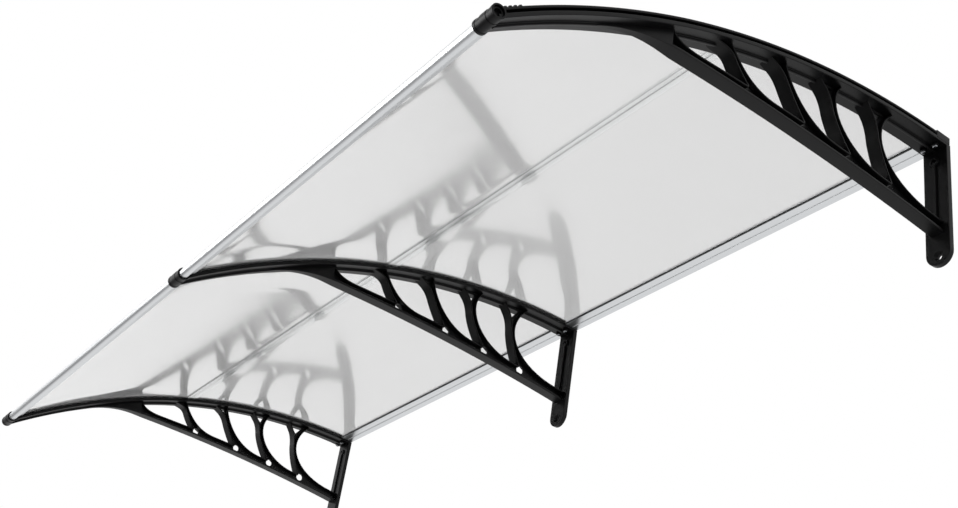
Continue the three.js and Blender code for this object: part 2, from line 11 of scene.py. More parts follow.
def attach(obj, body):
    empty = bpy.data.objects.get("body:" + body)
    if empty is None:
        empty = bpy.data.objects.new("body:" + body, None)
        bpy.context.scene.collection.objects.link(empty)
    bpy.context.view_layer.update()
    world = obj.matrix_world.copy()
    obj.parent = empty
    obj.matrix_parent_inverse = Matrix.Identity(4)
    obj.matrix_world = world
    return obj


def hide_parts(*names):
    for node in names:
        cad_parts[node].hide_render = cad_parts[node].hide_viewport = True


bl_info = {
    "name": "Door canopy",
    "version": (1, 0, 0),
    "blender": (4, 5, 0),
    "location": "View3D > Sidebar > Canopy",
    "description": "Makes a wall-fixed door canopy from moulded brackets, clear sheets and extruded bars",
    "category": "Add Mesh",
}

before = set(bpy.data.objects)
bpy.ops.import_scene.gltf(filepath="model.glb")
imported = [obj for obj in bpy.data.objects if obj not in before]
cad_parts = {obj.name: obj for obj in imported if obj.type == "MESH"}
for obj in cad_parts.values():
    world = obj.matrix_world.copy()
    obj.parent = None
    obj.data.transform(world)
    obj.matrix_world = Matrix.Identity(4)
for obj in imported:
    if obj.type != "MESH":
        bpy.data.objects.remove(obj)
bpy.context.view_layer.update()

MM = 0.001
SIDES = {"left": -1, "middle": 0, "right": 1}
BAYS = {"left": -1, "right": 0}

# Struts of a bracket's panel, from front to back, as distances from the wall in millimetres: tip, bend, joint
# and apex lead the front edge up from the lower chord, top, belly, knee and tail lead the back edge down to it.
# The last one is the radius of the hole at the foot, as it shows.
STRUT_POINTS = ("tip", "bend", "joint", "apex", "top", "belly", "knee", "tail", "hole")
STRUTS = tuple(dict(zip(STRUT_POINTS, row)) for row in (
    (446, 471, 480, 510, 481, 465, 441, 385, 7.5),
    (328, 358, 373, 402, 369, 359, 320, 250, 8),
    (228, 268, 273, 297, 247, 284, 226, 150, 8.5),
    (133, 165, 167, 190, 128, 186, 145, 30, 9),
))
NOSE = {"tip": 592, "bend": 585, "tail": 535}  # front end of the first window
# Heights on the edges of a strut, as shares of the clear height
BEND_HEIGHT, JOINT_HEIGHT, FORK_HEIGHT, BELLY_HEIGHT = 0.38, 0.76, 0.82, 0.58
FORK_BEND = 0.45  # how much of a fork's front branch is bent where it leaves the strut
WEB_RISE = 1.2 * MM  # how far the web reaches above the middle of the flange, and so above its windows
HOLE_DROP = 1.0 * MM  # how far the middle of a foot hole lies below the windows
HIDDEN_STEP = 0.05 * MM  # by which one body stands back from another, so that their faces don't coincide
RAIL_LAP = 0.001  # angle by which the sunk end of a rail runs into the rest
SUNK = 1.5  # length of the sunk end as the panel sees it, in depths of a rear bar

# Front collar: depth of its neck, width of a lip and half the width of its middle band
COLLAR_STEP, COLLAR_LIP, COLLAR_BAND = 0.7 * MM, 5 * MM, 7 * MM
TEETH, STRIP_SCREWS = 4, 4  # on each cover strip
# Screw head: straight rim and floor of the recess as shares of its height, arm of the cross as a share of its
# radius, and half the cross's width
HEAD_RIM, CROSS_FLOOR, CROSS_ARM, CROSS_HALF = 0.25, 0.3, 0.55, 0.9 * MM
SAG = 0.42  # how much of its rise a half sheet loses in the middle of a bay
SAG_FULL = 6  # where the sag is full, from a bracket's middle, in half widths of its flange
# Rounding of edges in millimetres, where it isn't that of the moulded ones
ROUNDING = {"collar": 0.25, "tube": 0.3, "lip": 0.5, "rear bar": 0.4, "joint strip": 0.9, "seal": 0.3, "plug": 0.5}

# Into how many steps round and curved shapes are divided
CURVE_STEPS, ROUND_STEPS, BAR_STEPS, SCREW_STEPS, DOME_STEPS = 18, 40, 64, 28, 8
RAIL_STEPS, SEAT_STEPS, ROOF_STEPS, FIN_STEPS, LEG_STEPS = 64, 6, 40, 14, 24
SHEET_STEPS = (80, 36)  # across a bay and from back to front
QUARTER_ROUND = ((0.29, 0.71), (0.71, 0.29))  # steps of a rounded rim, as shares of it inwards and upwards
CAP_NORMAL = 0.999  # a face that looks along the axis more than this is part of a plate's cap
CORNER_ANGLE, SMOOTH_ANGLE = math.radians(50), math.radians(38)  # edges that are rounded, and shaded smooth
POINT_GAP = 0.8 * MM  # least distance between points of an outline
# How near points are that become one, after a spin, after a Boolean step and at a cutting plane
SPIN_MERGE, CUT_MERGE, BISECT_SNAP = 0.01 * MM, 0.002 * MM, 0.02 * MM


# Sizes and colours

def length(label, words, millimetres):
    """A length that a user may change, given in millimetres and kept in metres."""
    return FloatProperty(
        name=label, description=words, default=millimetres * MM, min=0.0, precision=4, unit="LENGTH")


def linear(code):
    """An sRGB hex colour as linear red, green and blue."""
    parts = [int(code[i:i + 2], 16) / 255 for i in (0, 2, 4)]
    return tuple(c / 12.92 if c <= 0.04045 else ((c + 0.055) / 1.055) ** 2.4 for c in parts)


def colour(label, words, code):
    """A colour that a user may change, given as sRGB hex."""
    return FloatVectorProperty(
        name=label, description=words, default=linear(code), min=0.0, max=1.0, size=3, subtype="COLOR")


class CanopySizes(bpy.types.PropertyGroup):
    """Sizes of the canopy, as its frame has them, apart from the thinner web"""
    bay: length("Bay", "From bracket to bracket, centre to centre", 1000)
    reach: length("Reach", "From the wall to the axis of the front bars", 890)
    roof_radius: length("Roof radius", "Curve of the underside of the sheets", 1350)
    crest: length("Crest", "From the wall to the highest line of the roof", 85)
    fit: length("Fit", "Clearance between pieces that touch", 0.3)
    sheet: length("Sheet", "Thickness of the sheets", 4)
    joint_reach: length("Joint reach", "From the wall to the middle of the joint strips", 480)
    joint_width: length("Joint width", "Width of a joint strip", 28)
    joint_wall: length("Joint wall", "Wall of a joint strip", 2)
    flange_width: length("Flange width", "Width of a bracket's flange at the wall", 48)
    flange_front: length("Flange front", "Width of the flange at the collar", 40)
    flange: length("Flange", "Thickness of the flange", 7)
    spine_width: length("Spine width", "Width of the spine between two sheets", 8)
    spine_gap: length("Spine gap", "What sheets and rear bars leave free beside the spine", 0.8)
    rib_width: length("Rib width", "Width of the rib under the flange", 5)
    rib_depth: length("Rib depth", "Depth of the rib under the flange", 4)
    panel_width: length("Panel width", "Width of the pierced panel", 26)
    fin_width: length("Fin width", "Width of the panel where its front end bends up into the rib", 12)
    fin_start: length("Fin start", "From the wall to where that bend starts", 600)
    fin_bend: length("Fin bend", "From the wall to the middle of that bend", 662)
    fin_end: length("Fin end", "From the wall to where the panel ends in the rib", 722)
    web: length("Web", "Thin middle of the panel, between the walls of its windows", 4)
    rim_wall: length("Rim wall", "Walls around the windows", 3)
    chord_wall: length("Chord wall", "Plate along the lower chord's underside", 5)
    split: length("Split", "From the wall to where the lower chord leaves the roof's curve", 580)
    chord_drop: length("Chord drop", "Lower chord's underside at the wall, below the crest", 178)
    chord_rise: length("Chord rise", "How far its underside climbs from the wall to the split", 39)
    chord_root: length("Chord root", "Depth of the lower chord at the wall", 21)
    chord_tip: length("Chord tip", "Depth of the lower chord at the split", 13)
    hole_offset: length("Hole offset", "Hole at a strut's foot, from its tip", 12)
    fork_wall: length("Fork wall", "A fork's front branch, along the flange", 6)
    strut_wall: length("Strut wall", "A strut's main branch, along the flange", 12)
    leg_thickness: length("Leg thickness", "Thickness of the wall leg", 10)
    leg_height: length("Leg height", "Height of the wall leg", 227)
    leg_rib: length("Leg rib", "How far the rib stands off the leg", 4)
    foot_hole: length("Foot hole", "Lower wall hole above the leg's end", 17)
    wall_hole: length("Wall hole", "Diameter of the wall holes", 9)
    wall_hole_sink: length("Wall hole sink", "Wide end of the lower hole's countersink", 16)
    boss: length("Boss", "Diameter of the boss around the upper wall hole", 18)
    boss_length: length("Boss length", "How far the boss stands off the leg", 4)
    boss_drop: length("Boss drop", "Upper wall hole below the crest", 34)
    collar: length("Collar", "Diameter of a bracket's front collar", 24)
    collar_length: length("Collar length", "Length of a collar", 46)
    collar_wall: length("Collar wall", "Partition in the middle of a collar", 6)
    bar: length("Bar", "Diameter of the front bars", 18)
    bar_wall: length("Bar wall", "Wall of the front bars", 2)
    jaw: length("Jaw", "Thickness of the lips that hold a sheet", 2)
    jaw_grip: length("Jaw grip", "How far the lips reach over a sheet", 9)
    spigot: length("Spigot", "How far a bar goes into a collar", 17)
    plug_sink: length("Plug sink", "How far a plug's face lies inside the collar", 3)
    plug_recess: length("Plug recess", "Diameter of the recess in a plug", 12)
    plug_recess_depth: length("Plug recess depth", "Depth of that recess", 5)
    rear_depth: length("Rear depth", "Depth of the rear bars", 32)
    rear_jaw: length("Rear jaw", "Wall of the rear bars", 2.4)
    rear_slot: length("Rear slot", "Depth of the slot in the rear bars", 16)
    rear_back: length("Rear back", "Back wall of the rear bars", 3)
    wall_gap: length("Wall gap", "What the rear bars leave free at the wall", 1)
    seal_tongue: length("Seal tongue", "Thickness of the seal under a sheet", 0.8)
    seal_lip: length("Seal lip", "What shows of the seal in front of a rear bar", 2)
    stop_rise: length("Stop rise", "How far a stop stands above the cover strip", 3)
    strip: length("Strip", "Thickness of the cover strips", 4)
    tooth: length("Tooth", "Height of the teeth near the collar", 2)
    tooth_pitch: length("Tooth pitch", "From tooth to tooth", 9)
    screw: length("Screw", "Diameter of the screws", 4)
    screw_head: length("Screw head", "Diameter of their heads", 9)
    screw_head_height: length("Screw head height", "Height of their heads", 2.6)
    strip_screw_length: length("Strip screw length", "Length of the screws of the cover strips", 14)
    bar_screw_x: length("Bar screw place", "Screws of the rear bars, from a bracket's middle", 12)
    bar_screw_reach: length("Bar screw reach", "Screws of the rear bars, from the wall", 24)
    bar_screw_pad: length("Bar screw pad", "Diameter of the pads around them", 12)
    bar_screw_pad_depth: length("Bar screw pad depth", "How far the pads stand below the flange", 5)
    edge: length("Edge", "Rounding of moulded edges", 1.2)


class CanopyColours(bpy.types.PropertyGroup):
    """Colours of the canopy's materials"""
    plastic: colour("Plastic", "Moulded brackets, cover strips, plugs and stops", "0c0c0d")
    plastic_worn: colour("Plastic, rubbed", "The same where handling has rubbed it grey", "151516")
    sheet: colour("Sheet", "Tint of the clear sheets", "e9e9e9")
    joint: colour("Joint strip", "Tint of the clear joint strips", "fbfcfc")
    aluminium: colour("Aluminium", "Front and rear bars", "d4d6d8")
    rubber: colour("Rubber", "Seals in front of the rear bars", "4c4d4e")
    steel: colour("Steel", "Screws", "8f9194")
    floor: colour("Floor", "Studio floor", "e6e6e6")


# Places on the roof, seen from the side: angles grow from the crest to the front, heights are measured
# outwards from the underside of the sheets

def roof_angle(s, reach, height=0.0):
    return math.asin((reach - s.crest) / (s.roof_radius + height))


def roof_point(s, angle, height):
    radius = s.roof_radius + height
    return -s.crest - radius * math.sin(angle), crest_z(s) - s.roof_radius + radius * math.cos(angle)


def roof_z(s, reach, height):
    return roof_point(s, roof_angle(s, reach, height), height)[1]


def crest_z(s):
    """Height of the crest above the origin, which is halfway up the legs."""
    fall = s.roof_radius - math.sqrt((s.roof_radius + seat_height(s)) ** 2 - s.crest ** 2)
    return s.leg_height / 2 + fall


def sheet_top(s):
    return s.fit + s.sheet


def rear_floor(s):
    return s.fit - s.seal_tongue - 2 * s.fit - s.rear_jaw


def rear_roof(s):
    return sheet_top(s) + s.fit + s.rear_jaw


def seat_height(s):
    return rear_floor(s) - s.fit


def strip_floor(s):
    return sheet_top(s) + s.fit


def strip_roof(s):
    return strip_floor(s) + s.strip


def front_angle(s):
    return roof_angle(s, s.reach, s.fit + s.sheet / 2)


def front_axis(s):
    return roof_point(s, front_angle(s), s.fit + s.sheet / 2)


def rear_angle(s):
    return roof_angle(s, s.wall_gap + s.rear_depth / 2)


def strip_ends(s):
    start = roof_angle(s, s.wall_gap + s.rear_depth + 4 * s.fit)
    return start, front_angle(s) - (s.collar / 2 + 2 * s.fit) / s.roof_radius


def screw_angles(s):
    """Where the screws of a cover strip are."""
    start, end = strip_ends(s)
    return [start + (end - start) * (i + 0.5) / STRIP_SCREWS for i in range(STRIP_SCREWS)]


def screw_bore(s):
    return s.screw / 2 + s.fit


def beside_spine(s):
    """Where sheets and rear bars start, from a bracket's middle."""
    return s.spine_width / 2 + s.spine_gap


def beside_flange(s):
    """Where joint strips and seals start, from a bracket's middle."""
    return s.flange_width / 2 + 2 * s.fit


def pad_floor(s):
    return roof_z(s, s.bar_screw_reach, -s.flange) - s.bar_screw_pad_depth


def chord_bottom(s, reach):
    return crest_z(s) - s.chord_drop + s.chord_rise * (1 - (1 - reach / s.split) ** 2)


def chord_top(s, reach):
    return chord_bottom(s, reach) + s.chord_tip + (s.chord_root - s.chord_tip) * (1 - reach / s.split)


def in_window(s, millimetres, share):
    """A point of a window's edge: its distance from the wall, and a share of the clear height there."""
    reach = millimetres * MM
    low = chord_top(s, reach)
    return Vector((-reach, low + share * (roof_z(s, reach, -s.flange) - low)))


def flange_core(s, reach):
    """Z of the middle of the flange, which is sunk under the rear bars."""
    sunk = reach < s.wall_gap + SUNK * s.rear_depth
    return roof_z(s, reach, ((seat_height(s) if sunk else 0) - s.flange) / 2)


def in_flange(s, millimetres):
    """A point inside the flange, where the edge of a window ends."""
    return Vector((-millimetres * MM, flange_core(s, millimetres * MM)))


def below_roof(s, points):
    """The same points, none of them higher than where the windows end."""
    return [Vector((p.x, min(p.y, flange_core(s, -p.x)))) for p in points]


def smooth_step(value, low, high):
    t = min(1.0, max(0.0, (value - low) / (high - low)))
    return t * t * (3 - 2 * t)


def bent(points):
    """Points along the smooth curve that three or four control points lead."""
    curve = []
    for i in range(CURVE_STEPS + 1):
        row = [p.copy() for p in points]
        while len(row) > 1:
            row = [a.lerp(b, i / CURVE_STEPS) for a, b in zip(row, row[1:])]
        curve.append(row[0])
    return curve


def spaced(points):
    """An outline without points that all but fall together."""
    kept = points[:1]
    for point in points[1:]:
        if (point - kept[-1]).length > POINT_GAP and (point - kept[0]).length > POINT_GAP:
            kept.append(point)
    return kept


def ring(centre, radius, steps=ROUND_STEPS):
    turns = (2 * math.pi * i / steps for i in range(steps))
    return [Vector((centre[0] + radius * math.cos(t), centre[1] + radius * math.sin(t))) for t in turns]


# Modelling

ALONG_X = Matrix(((0, 0, 1, 0), (1, 0, 0, 0), (0, 1, 0, 0), (0, 0, 0, 1)))  # drawn in Y and Z, standing along X
ALONG_Y = Matrix(((1, 0, 0, 0), (0, 0, -1, 0), (0, 1, 0, 0), (0, 0, 0, 1)))  # drawn in X and Z, along -Y


def raise_faces(bm, way):
    """Draws flat faces out to a solid whose faces point outwards."""
    made = bmesh.ops.extrude_face_region(bm, geom=bm.faces[:])["geom"]
    bmesh.ops.translate(bm, verts=[v for v in made if isinstance(v, bmesh.types.BMVert)], vec=way)
    bmesh.ops.recalc_face_normals(bm, faces=bm.faces)


def plate(loops, start, end, rim, turn):
    """A closed plate from an outline and its holes, with rounded rims, standing between two places."""
    bm = bmesh.new()
    edges = []
    for loop in loops:
        verts = [bm.verts.new((u, v, start + rim)) for u, v in loop]
        edges += [bm.edges.new((a, b)) for a, b in zip(verts, verts[1:] + verts[:1])]
    bmesh.ops.triangle_fill(bm, use_beauty=True, edges=edges, normal=(0, 0, -1))
    raise_faces(bm, (0, 0, end - start - 2 * rim))
    for way in (-1, 1):
        for wide, deep in QUARTER_ROUND if rim else ():
            cap = [f for f in bm.faces if f.normal.z * way > CAP_NORMAL]
            bmesh.ops.inset_region(
                bm, faces=cap, thickness=wide * rim, depth=deep * rim, use_boundary=True, use_even_offset=False)
    bmesh.ops.transform(bm, matrix=turn, verts=bm.verts)
    return bm


def spun(s, section, start, end, rim, steps):
    """A solid that follows the roof from one angle to another. The section is in X and height."""
    bm = bmesh.new()
    bm.faces.new([bm.verts.new((x, -s.crest, crest_z(s) + height)) for x, height in section])
    bmesh.ops.bevel(
        bm, geom=bm.verts[:], offset=rim, offset_type="OFFSET", affect="VERTICES", segments=3, profile=0.5,
        material=-1, clamp_overlap=True)
    face = bm.faces[:][0]
    centre = Vector((0, -s.crest, crest_z(s) - s.roof_radius))
    bmesh.ops.rotate(bm, cent=centre, matrix=Matrix.Rotation(start, 3, "X"), verts=bm.verts)
    bmesh.ops.spin(
        bm, geom=[face, *face.edges, *face.verts], cent=centre, axis=(1, 0, 0), angle=end - start, steps=steps,
        use_merge=False, use_duplicate=False)
    bmesh.ops.recalc_face_normals(bm, faces=bm.faces)
    return bm


def lathed(profile, rim=0.0, steps=ROUND_STEPS):
    """A solid of revolution about Z. The profile is in radius and Z, and closed unless it ends on the axis."""
    bm = bmesh.new()
    verts = [bm.verts.new((r, 0, z)) for r, z in profile]
    edges = [bm.edges.new(pair) for pair in zip(verts, verts[1:])]
    if profile[0][0] > 0 or profile[-1][0] > 0:
        edges.append(bm.edges.new((verts[-1], verts[0])))
    bmesh.ops.spin(
        bm, geom=verts + edges, cent=(0, 0, 0), axis=(0, 0, 1), angle=2 * math.pi, steps=steps, use_merge=True)
    bmesh.ops.remove_doubles(bm, verts=bm.verts, dist=SPIN_MERGE)
    bmesh.ops.recalc_face_normals(bm, faces=bm.faces)
    if rim:
        round_edges(bm, rim)
    return bm


def pin(radius, low, high):
    """A round rod along Z, which cuts a hole."""
    return lathed([(0, low), (radius, low), (radius, high), (0, high)])


def round_edges(bm, width, keep=lambda edge: True):
    """Rounds the edges that turn more sharply than a corner's angle."""
    sharp = [e for e in bm.edges if e.is_manifold and e.calc_face_angle() > CORNER_ANGLE and keep(e)]
    bmesh.ops.bevel(
        bm, geom=sharp, offset=width, offset_type="OFFSET", affect="EDGES", segments=2, profile=0.5, material=-1,
        clamp_overlap=True)


def prism(points, start, end, rim=0.0):
    """A bar of one section, drawn in Y and Z and standing along X, with its long edges rounded."""
    bm = bmesh.new()
    bm.faces.new([bm.verts.new((start, y, z)) for y, z in points])
    raise_faces(bm, (end - start, 0, 0))
    if rim:
        round_edges(bm, rim, lambda e: abs((e.verts[0].co - e.verts[1].co).x) > (end - start) / 2)
    return bm


def block(y0, y1, z0, z1):
    return [(y0, z0), (y1, z0), (y1, z1), (y0, z1)]


def moved(bm, place=(0, 0, 0), tilt=0.0):
    """Turns a body about X and then puts it in its place."""
    bmesh.ops.transform(bm, matrix=Matrix.Translation(place) @ Matrix.Rotation(tilt, 4, "X"), verts=bm.verts)
    return bm


def laid(bm, side):
    """Lays a body that stands along Z down along X, to the left or the right."""
    bmesh.ops.rotate(bm, cent=(0, 0, 0), matrix=Matrix.Rotation(side * math.pi / 2, 3, "Y"), verts=bm.verts)
    return bm


def linked(name, bm):
    """An object in the scene that takes a body over as its mesh."""
    mesh = bpy.data.meshes.new(name)
    bm.to_mesh(mesh)
    bm.free()
    made = bpy.data.objects.new(name, mesh)
    bpy.context.scene.collection.objects.link(made)
    return made


def combined(whole, others, operation):
    """Joins bodies to the first one by one, or cuts them out of it, and leaves one closed body."""
    for other in others:
        made = [linked("body", bm) for bm in (whole, other)]
        step = made[0].modifiers.new("step", "BOOLEAN")
        step.operation = operation
        step.solver = "EXACT"
        step.object = made[1]
        whole = bmesh.new()
        whole.from_object(made[0], bpy.context.evaluated_depsgraph_get())
        for body in made:
            bpy.data.meshes.remove(body.data)
        bmesh.ops.remove_doubles(whole, verts=whole.verts, dist=CUT_MERGE)
        bmesh.ops.holes_fill(whole, edges=[e for e in whole.edges if e.is_boundary], sides=0)
    return whole


def add_piece(node, bm, material):
    """Turns a body into a piece that stands for a node of the frame."""
    piece = linked(f"{node}_look", bm)
    piece.data.materials.append(material)
    piece.data.shade_smooth()
    piece.data.set_sharp_from_angle(angle=SMOOTH_ANGLE)
    flat = piece.modifiers.new("flat faces", "WEIGHTED_NORMAL")
    flat.keep_sharp = True
    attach(piece, "root")
    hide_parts(node)


def add_copies(bm, places, material):
    """Adds one piece for each name and place of a repeated body."""
    for node, place in places.items():
        add_piece(node, moved(bm.copy(), place), material)
    bm.free()


def along(s, stem, row):
    """Names and places of a piece that every bracket or every bay has."""
    return {f"{stem}_{name}": (side * s.bay, 0, 0) for name, side in row.items()}


# Materials

def add_node(tree, kind, inputs=None, **settings):
    """Adds a node with its settings, its values and its links."""
    made = tree.nodes.new(kind)
    for key, value in settings.items():
        setattr(made, key, value)
    for key, value in (inputs or {}).items():
        if isinstance(value, bpy.types.NodeSocket):
            tree.links.new(value, made.inputs[key])
        else:
            made.inputs[key].default_value = value
    return made


def finish(name):
    """Lets a function that draws a shader give the material of that name, which is made once."""
    def finished(draw):
        @functools.wraps(draw)
        def material(colours):
            made = bpy.data.materials.get(name)
            if made is None:
                made = bpy.data.materials.new(name)
                made.use_nodes = True
                made.node_tree.nodes.clear()
                shader = draw(made.node_tree, colours)
                add_node(made.node_tree, "ShaderNodeOutputMaterial", {"Surface": shader})
            return made
        return material
    return finished


@finish("moulded black polypropylene")
def moulded_polypropylene(tree, colours):
    """Black moulded polypropylene: spark-eroded grain that scatters a broad sheen, rubbed greyer in patches."""
    where = add_node(tree, "ShaderNodeTexCoord").outputs["Object"]
    patches = add_node(tree, "ShaderNodeTexNoise", {"Vector": where, "Scale": 1 / (45 * MM), "Detail": 4.0})
    tone = add_node(tree, "ShaderNodeMix", {
        "Factor": patches.outputs["Fac"], "A": (*colours.plastic, 1), "B": (*colours.plastic_worn, 1)},
        data_type="RGBA")
    rub = add_node(tree, "ShaderNodeMapRange", {
        "Value": patches.outputs["Fac"], "To Min": 0.3, "To Max": 0.42})
    # The grain is about 0.3 mm on the real one, drawn at 1.6 mm so that it shows
    grain = add_node(tree, "ShaderNodeTexNoise", {"Vector": where, "Scale": 1 / (1.6 * MM), "Detail": 2.0})
    relief = add_node(tree, "ShaderNodeBump", {
        "Height": grain.outputs["Fac"], "Strength": 0.22, "Distance": 0.25 * MM})
    return add_node(tree, "ShaderNodeBsdfPrincipled", {
        "Base Color": tone.outputs["Result"], "Roughness": rub.outputs["Result"],
        "Normal": relief.outputs["Normal"], "IOR": 1.49, "Specular IOR Level": 0.16}).outputs["BSDF"]


@finish("translucent polycarbonate sheet")
def frosted_polycarbonate(tree, colours):
    """Translucent solid polycarbonate: glossy skin, slightly wavy, over a milky body that greys what is behind."""
    where = add_node(tree, "ShaderNodeTexCoord").outputs["Object"]
    waves = add_node(tree, "ShaderNodeTexNoise", {"Vector": where, "Scale": 1 / (160 * MM), "Detail": 1.0})
    relief = add_node(tree, "ShaderNodeBump", {
        "Height": waves.outputs["Fac"], "Strength": 0.3, "Distance": 1.5 * MM})
    haze = add_node(tree, "ShaderNodeTexNoise", {"Vector": where, "Scale": 1 / (70 * MM), "Detail": 5.0})
    gloss = add_node(tree, "ShaderNodeMapRange", {
        "Value": haze.outputs["Fac"], "To Min": 0.1, "To Max": 0.14})
    return add_node(tree, "ShaderNodeBsdfPrincipled", {
        "Base Color": (*colours.sheet, 1), "Roughness": gloss.outputs["Result"],
        "Normal": relief.outputs["Normal"], "IOR": 1.58, "Transmission Weight": 0.86, "Coat Weight": 1.0,
        "Coat Roughness": 0.07}).outputs["BSDF"]


@finish("clear extruded polycarbonate")
def clear_polycarbonate(tree, colours):
    """Clear extruded polycarbonate: a glossy skin, bright edges and faint draw lines along its length."""
    where = add_node(tree, "ShaderNodeTexCoord").outputs["Object"]
    lines = add_node(tree, "ShaderNodeMapping", {"Vector": where, "Scale": (0.01, 1, 1)})
    draw = add_node(tree, "ShaderNodeTexNoise", {
        "Vector": lines.outputs["Vector"], "Scale": 1 / (3 * MM), "Detail": 2.0})
    relief = add_node(tree, "ShaderNodeBump", {
        "Height": draw.outputs["Fac"], "Strength": 0.2, "Distance": 0.2 * MM})
    # The body bends light less than polycarbonate does, because a real strip's edges are filled with stray light
    # and a drawn one's would go dark. The coat has the gloss.
    return add_node(tree, "ShaderNodeBsdfPrincipled", {
        "Base Color": (*colours.joint, 1), "Roughness": 0.2, "Normal": relief.outputs["Normal"], "IOR": 1.08,
        "Transmission Weight": 1.0, "Coat Weight": 1.0, "Coat Roughness": 0.06}).outputs["BSDF"]


@finish("satin anodised aluminium")
def anodised_aluminium(tree, colours):
    """Extruded, satin anodised aluminium: a soft metallic sheen drawn out in fine die lines along the bar."""
    where = add_node(tree, "ShaderNodeTexCoord").outputs["Object"]
    lines = add_node(tree, "ShaderNodeMapping", {"Vector": where, "Scale": (0.004, 1, 1)})
    # Die lines are about 0.2 mm apart, drawn at 1.2 mm so that they show
    draw = add_node(tree, "ShaderNodeTexNoise", {
        "Vector": lines.outputs["Vector"], "Scale": 1 / (1.2 * MM), "Detail": 3.0})
    gloss = add_node(tree, "ShaderNodeMapRange", {
        "Value": draw.outputs["Fac"], "To Min": 0.24, "To Max": 0.42})
    relief = add_node(tree, "ShaderNodeBump", {
        "Height": draw.outputs["Fac"], "Strength": 0.12, "Distance": 0.1 * MM})
    return add_node(tree, "ShaderNodeBsdfPrincipled", {
        "Base Color": (*colours.aluminium, 1), "Metallic": 1.0, "Roughness": gloss.outputs["Result"],
        "Normal": relief.outputs["Normal"]}).outputs["BSDF"]


@finish("black extruded rubber")
def seal_rubber(tree, colours):
    """Extruded black rubber: dull, with a faint bloom that greys it."""
    where = add_node(tree, "ShaderNodeTexCoord").outputs["Object"]
    bloom = add_node(tree, "ShaderNodeTexNoise", {"Vector": where, "Scale": 1 / (12 * MM), "Detail": 4.0})
    gloss = add_node(tree, "ShaderNodeMapRange", {
        "Value": bloom.outputs["Fac"], "To Min": 0.6, "To Max": 0.85})
    return add_node(tree, "ShaderNodeBsdfPrincipled", {
        "Base Color": (*colours.rubber, 1), "Roughness": gloss.outputs["Result"], "IOR": 1.52}).outputs["BSDF"]


@finish("bright zinc-plated steel")
def zinc_plate(tree, colours):
    """Zinc-plated steel: bright metal, mottled by the plating."""
    where = add_node(tree, "ShaderNodeTexCoord").outputs["Object"]
    mottle = add_node(tree, "ShaderNodeTexNoise", {"Vector": where, "Scale": 1 / (2 * MM), "Detail": 3.0})
    gloss = add_node(tree, "ShaderNodeMapRange", {
        "Value": mottle.outputs["Fac"], "To Min": 0.18, "To Max": 0.36})
    return add_node(tree, "ShaderNodeBsdfPrincipled", {
        "Base Color": (*colours.steel, 1), "Metallic": 1.0, "Roughness": gloss.outputs["Result"]}).outputs["BSDF"]


# Pieces

def front_edge(s, strut):
    """A window's rear end, up along the front edge of the strut behind it and of its fork."""
    joint, apex = in_window(s, strut["joint"], JOINT_HEIGHT), in_window(s, strut["apex"], 1)
    rise = bent([in_window(s, strut["tip"], 0), in_window(s, strut["bend"], BEND_HEIGHT), joint])
    kept = rise[:-CURVE_STEPS // 4]
    return kept + bent([kept[-1], joint, joint.lerp(apex, FORK_BEND)]) + [apex, in_flange(s, strut["apex"])]


def windows(s):
    """Outlines of the panel's windows, from front to back."""
    nose = bent([in_window(s, NOSE["tip"], 1), in_window(s, NOSE["bend"], 0), in_window(s, NOSE["tail"], 0)])
    loops = [[in_flange(s, NOSE["tip"])] + nose + front_edge(s, STRUTS[0])]
    for strut, behind in zip(STRUTS, STRUTS[1:] + (None,)):
        fall = bent([in_window(s, strut["top"], 1), in_window(s, strut["belly"], BELLY_HEIGHT),
                     in_window(s, strut["knee"], 0), in_window(s, strut["tail"], 0)])
        leg = (s.leg_thickness - s.edge) / MM
        end = front_edge(s, behind) if behind else [in_window(s, leg, 0), in_flange(s, leg)]
        loops.append([in_flange(s, strut["top"])] + fall + end)
    return [spaced(loop) for loop in loops]


def grown(s, loop, distance):
    """A window's outline moved outwards except at its top, with its sharp corners rounded."""
    area = sum(a.x * b.y - b.x * a.y for a, b in zip(loop, loop[1:] + loop[:1]))
    push = math.copysign(distance, area)
    sides = [Vector((b.y - a.y, a.x - b.x)).normalized() * push for a, b in zip(loop, loop[1:])]
    out = [loop[0] + sides[0]]
    for here, before, after in zip(loop[1:], sides, sides[1:]):
        middle = (before + after).normalized() * distance
        if before.angle(after) < math.pi / 2:
            out.append(here + middle * (distance ** 2 / middle.dot(after)))
        else:
            out += [here + before, here + middle, here + after]
    return below_roof(s, out + [loop[-1] + sides[-1]])


def foot_hole(s, strut):
    """Outline of the hole at a strut's foot."""
    reach = strut["tip"] * MM - s.hole_offset
    return ring((-reach, chord_top(s, reach) - HOLE_DROP), strut["hole"] * MM)


def fork_gap(s, strut):
    """Outline of the small gap between a fork's front branch and its strut."""
    return [in_window(s, strut["joint"] - s.fork_wall / MM, FORK_HEIGHT),
            in_flange(s, strut["top"] + s.strut_wall / MM), in_flange(s, strut["apex"] - s.fork_wall / MM)]


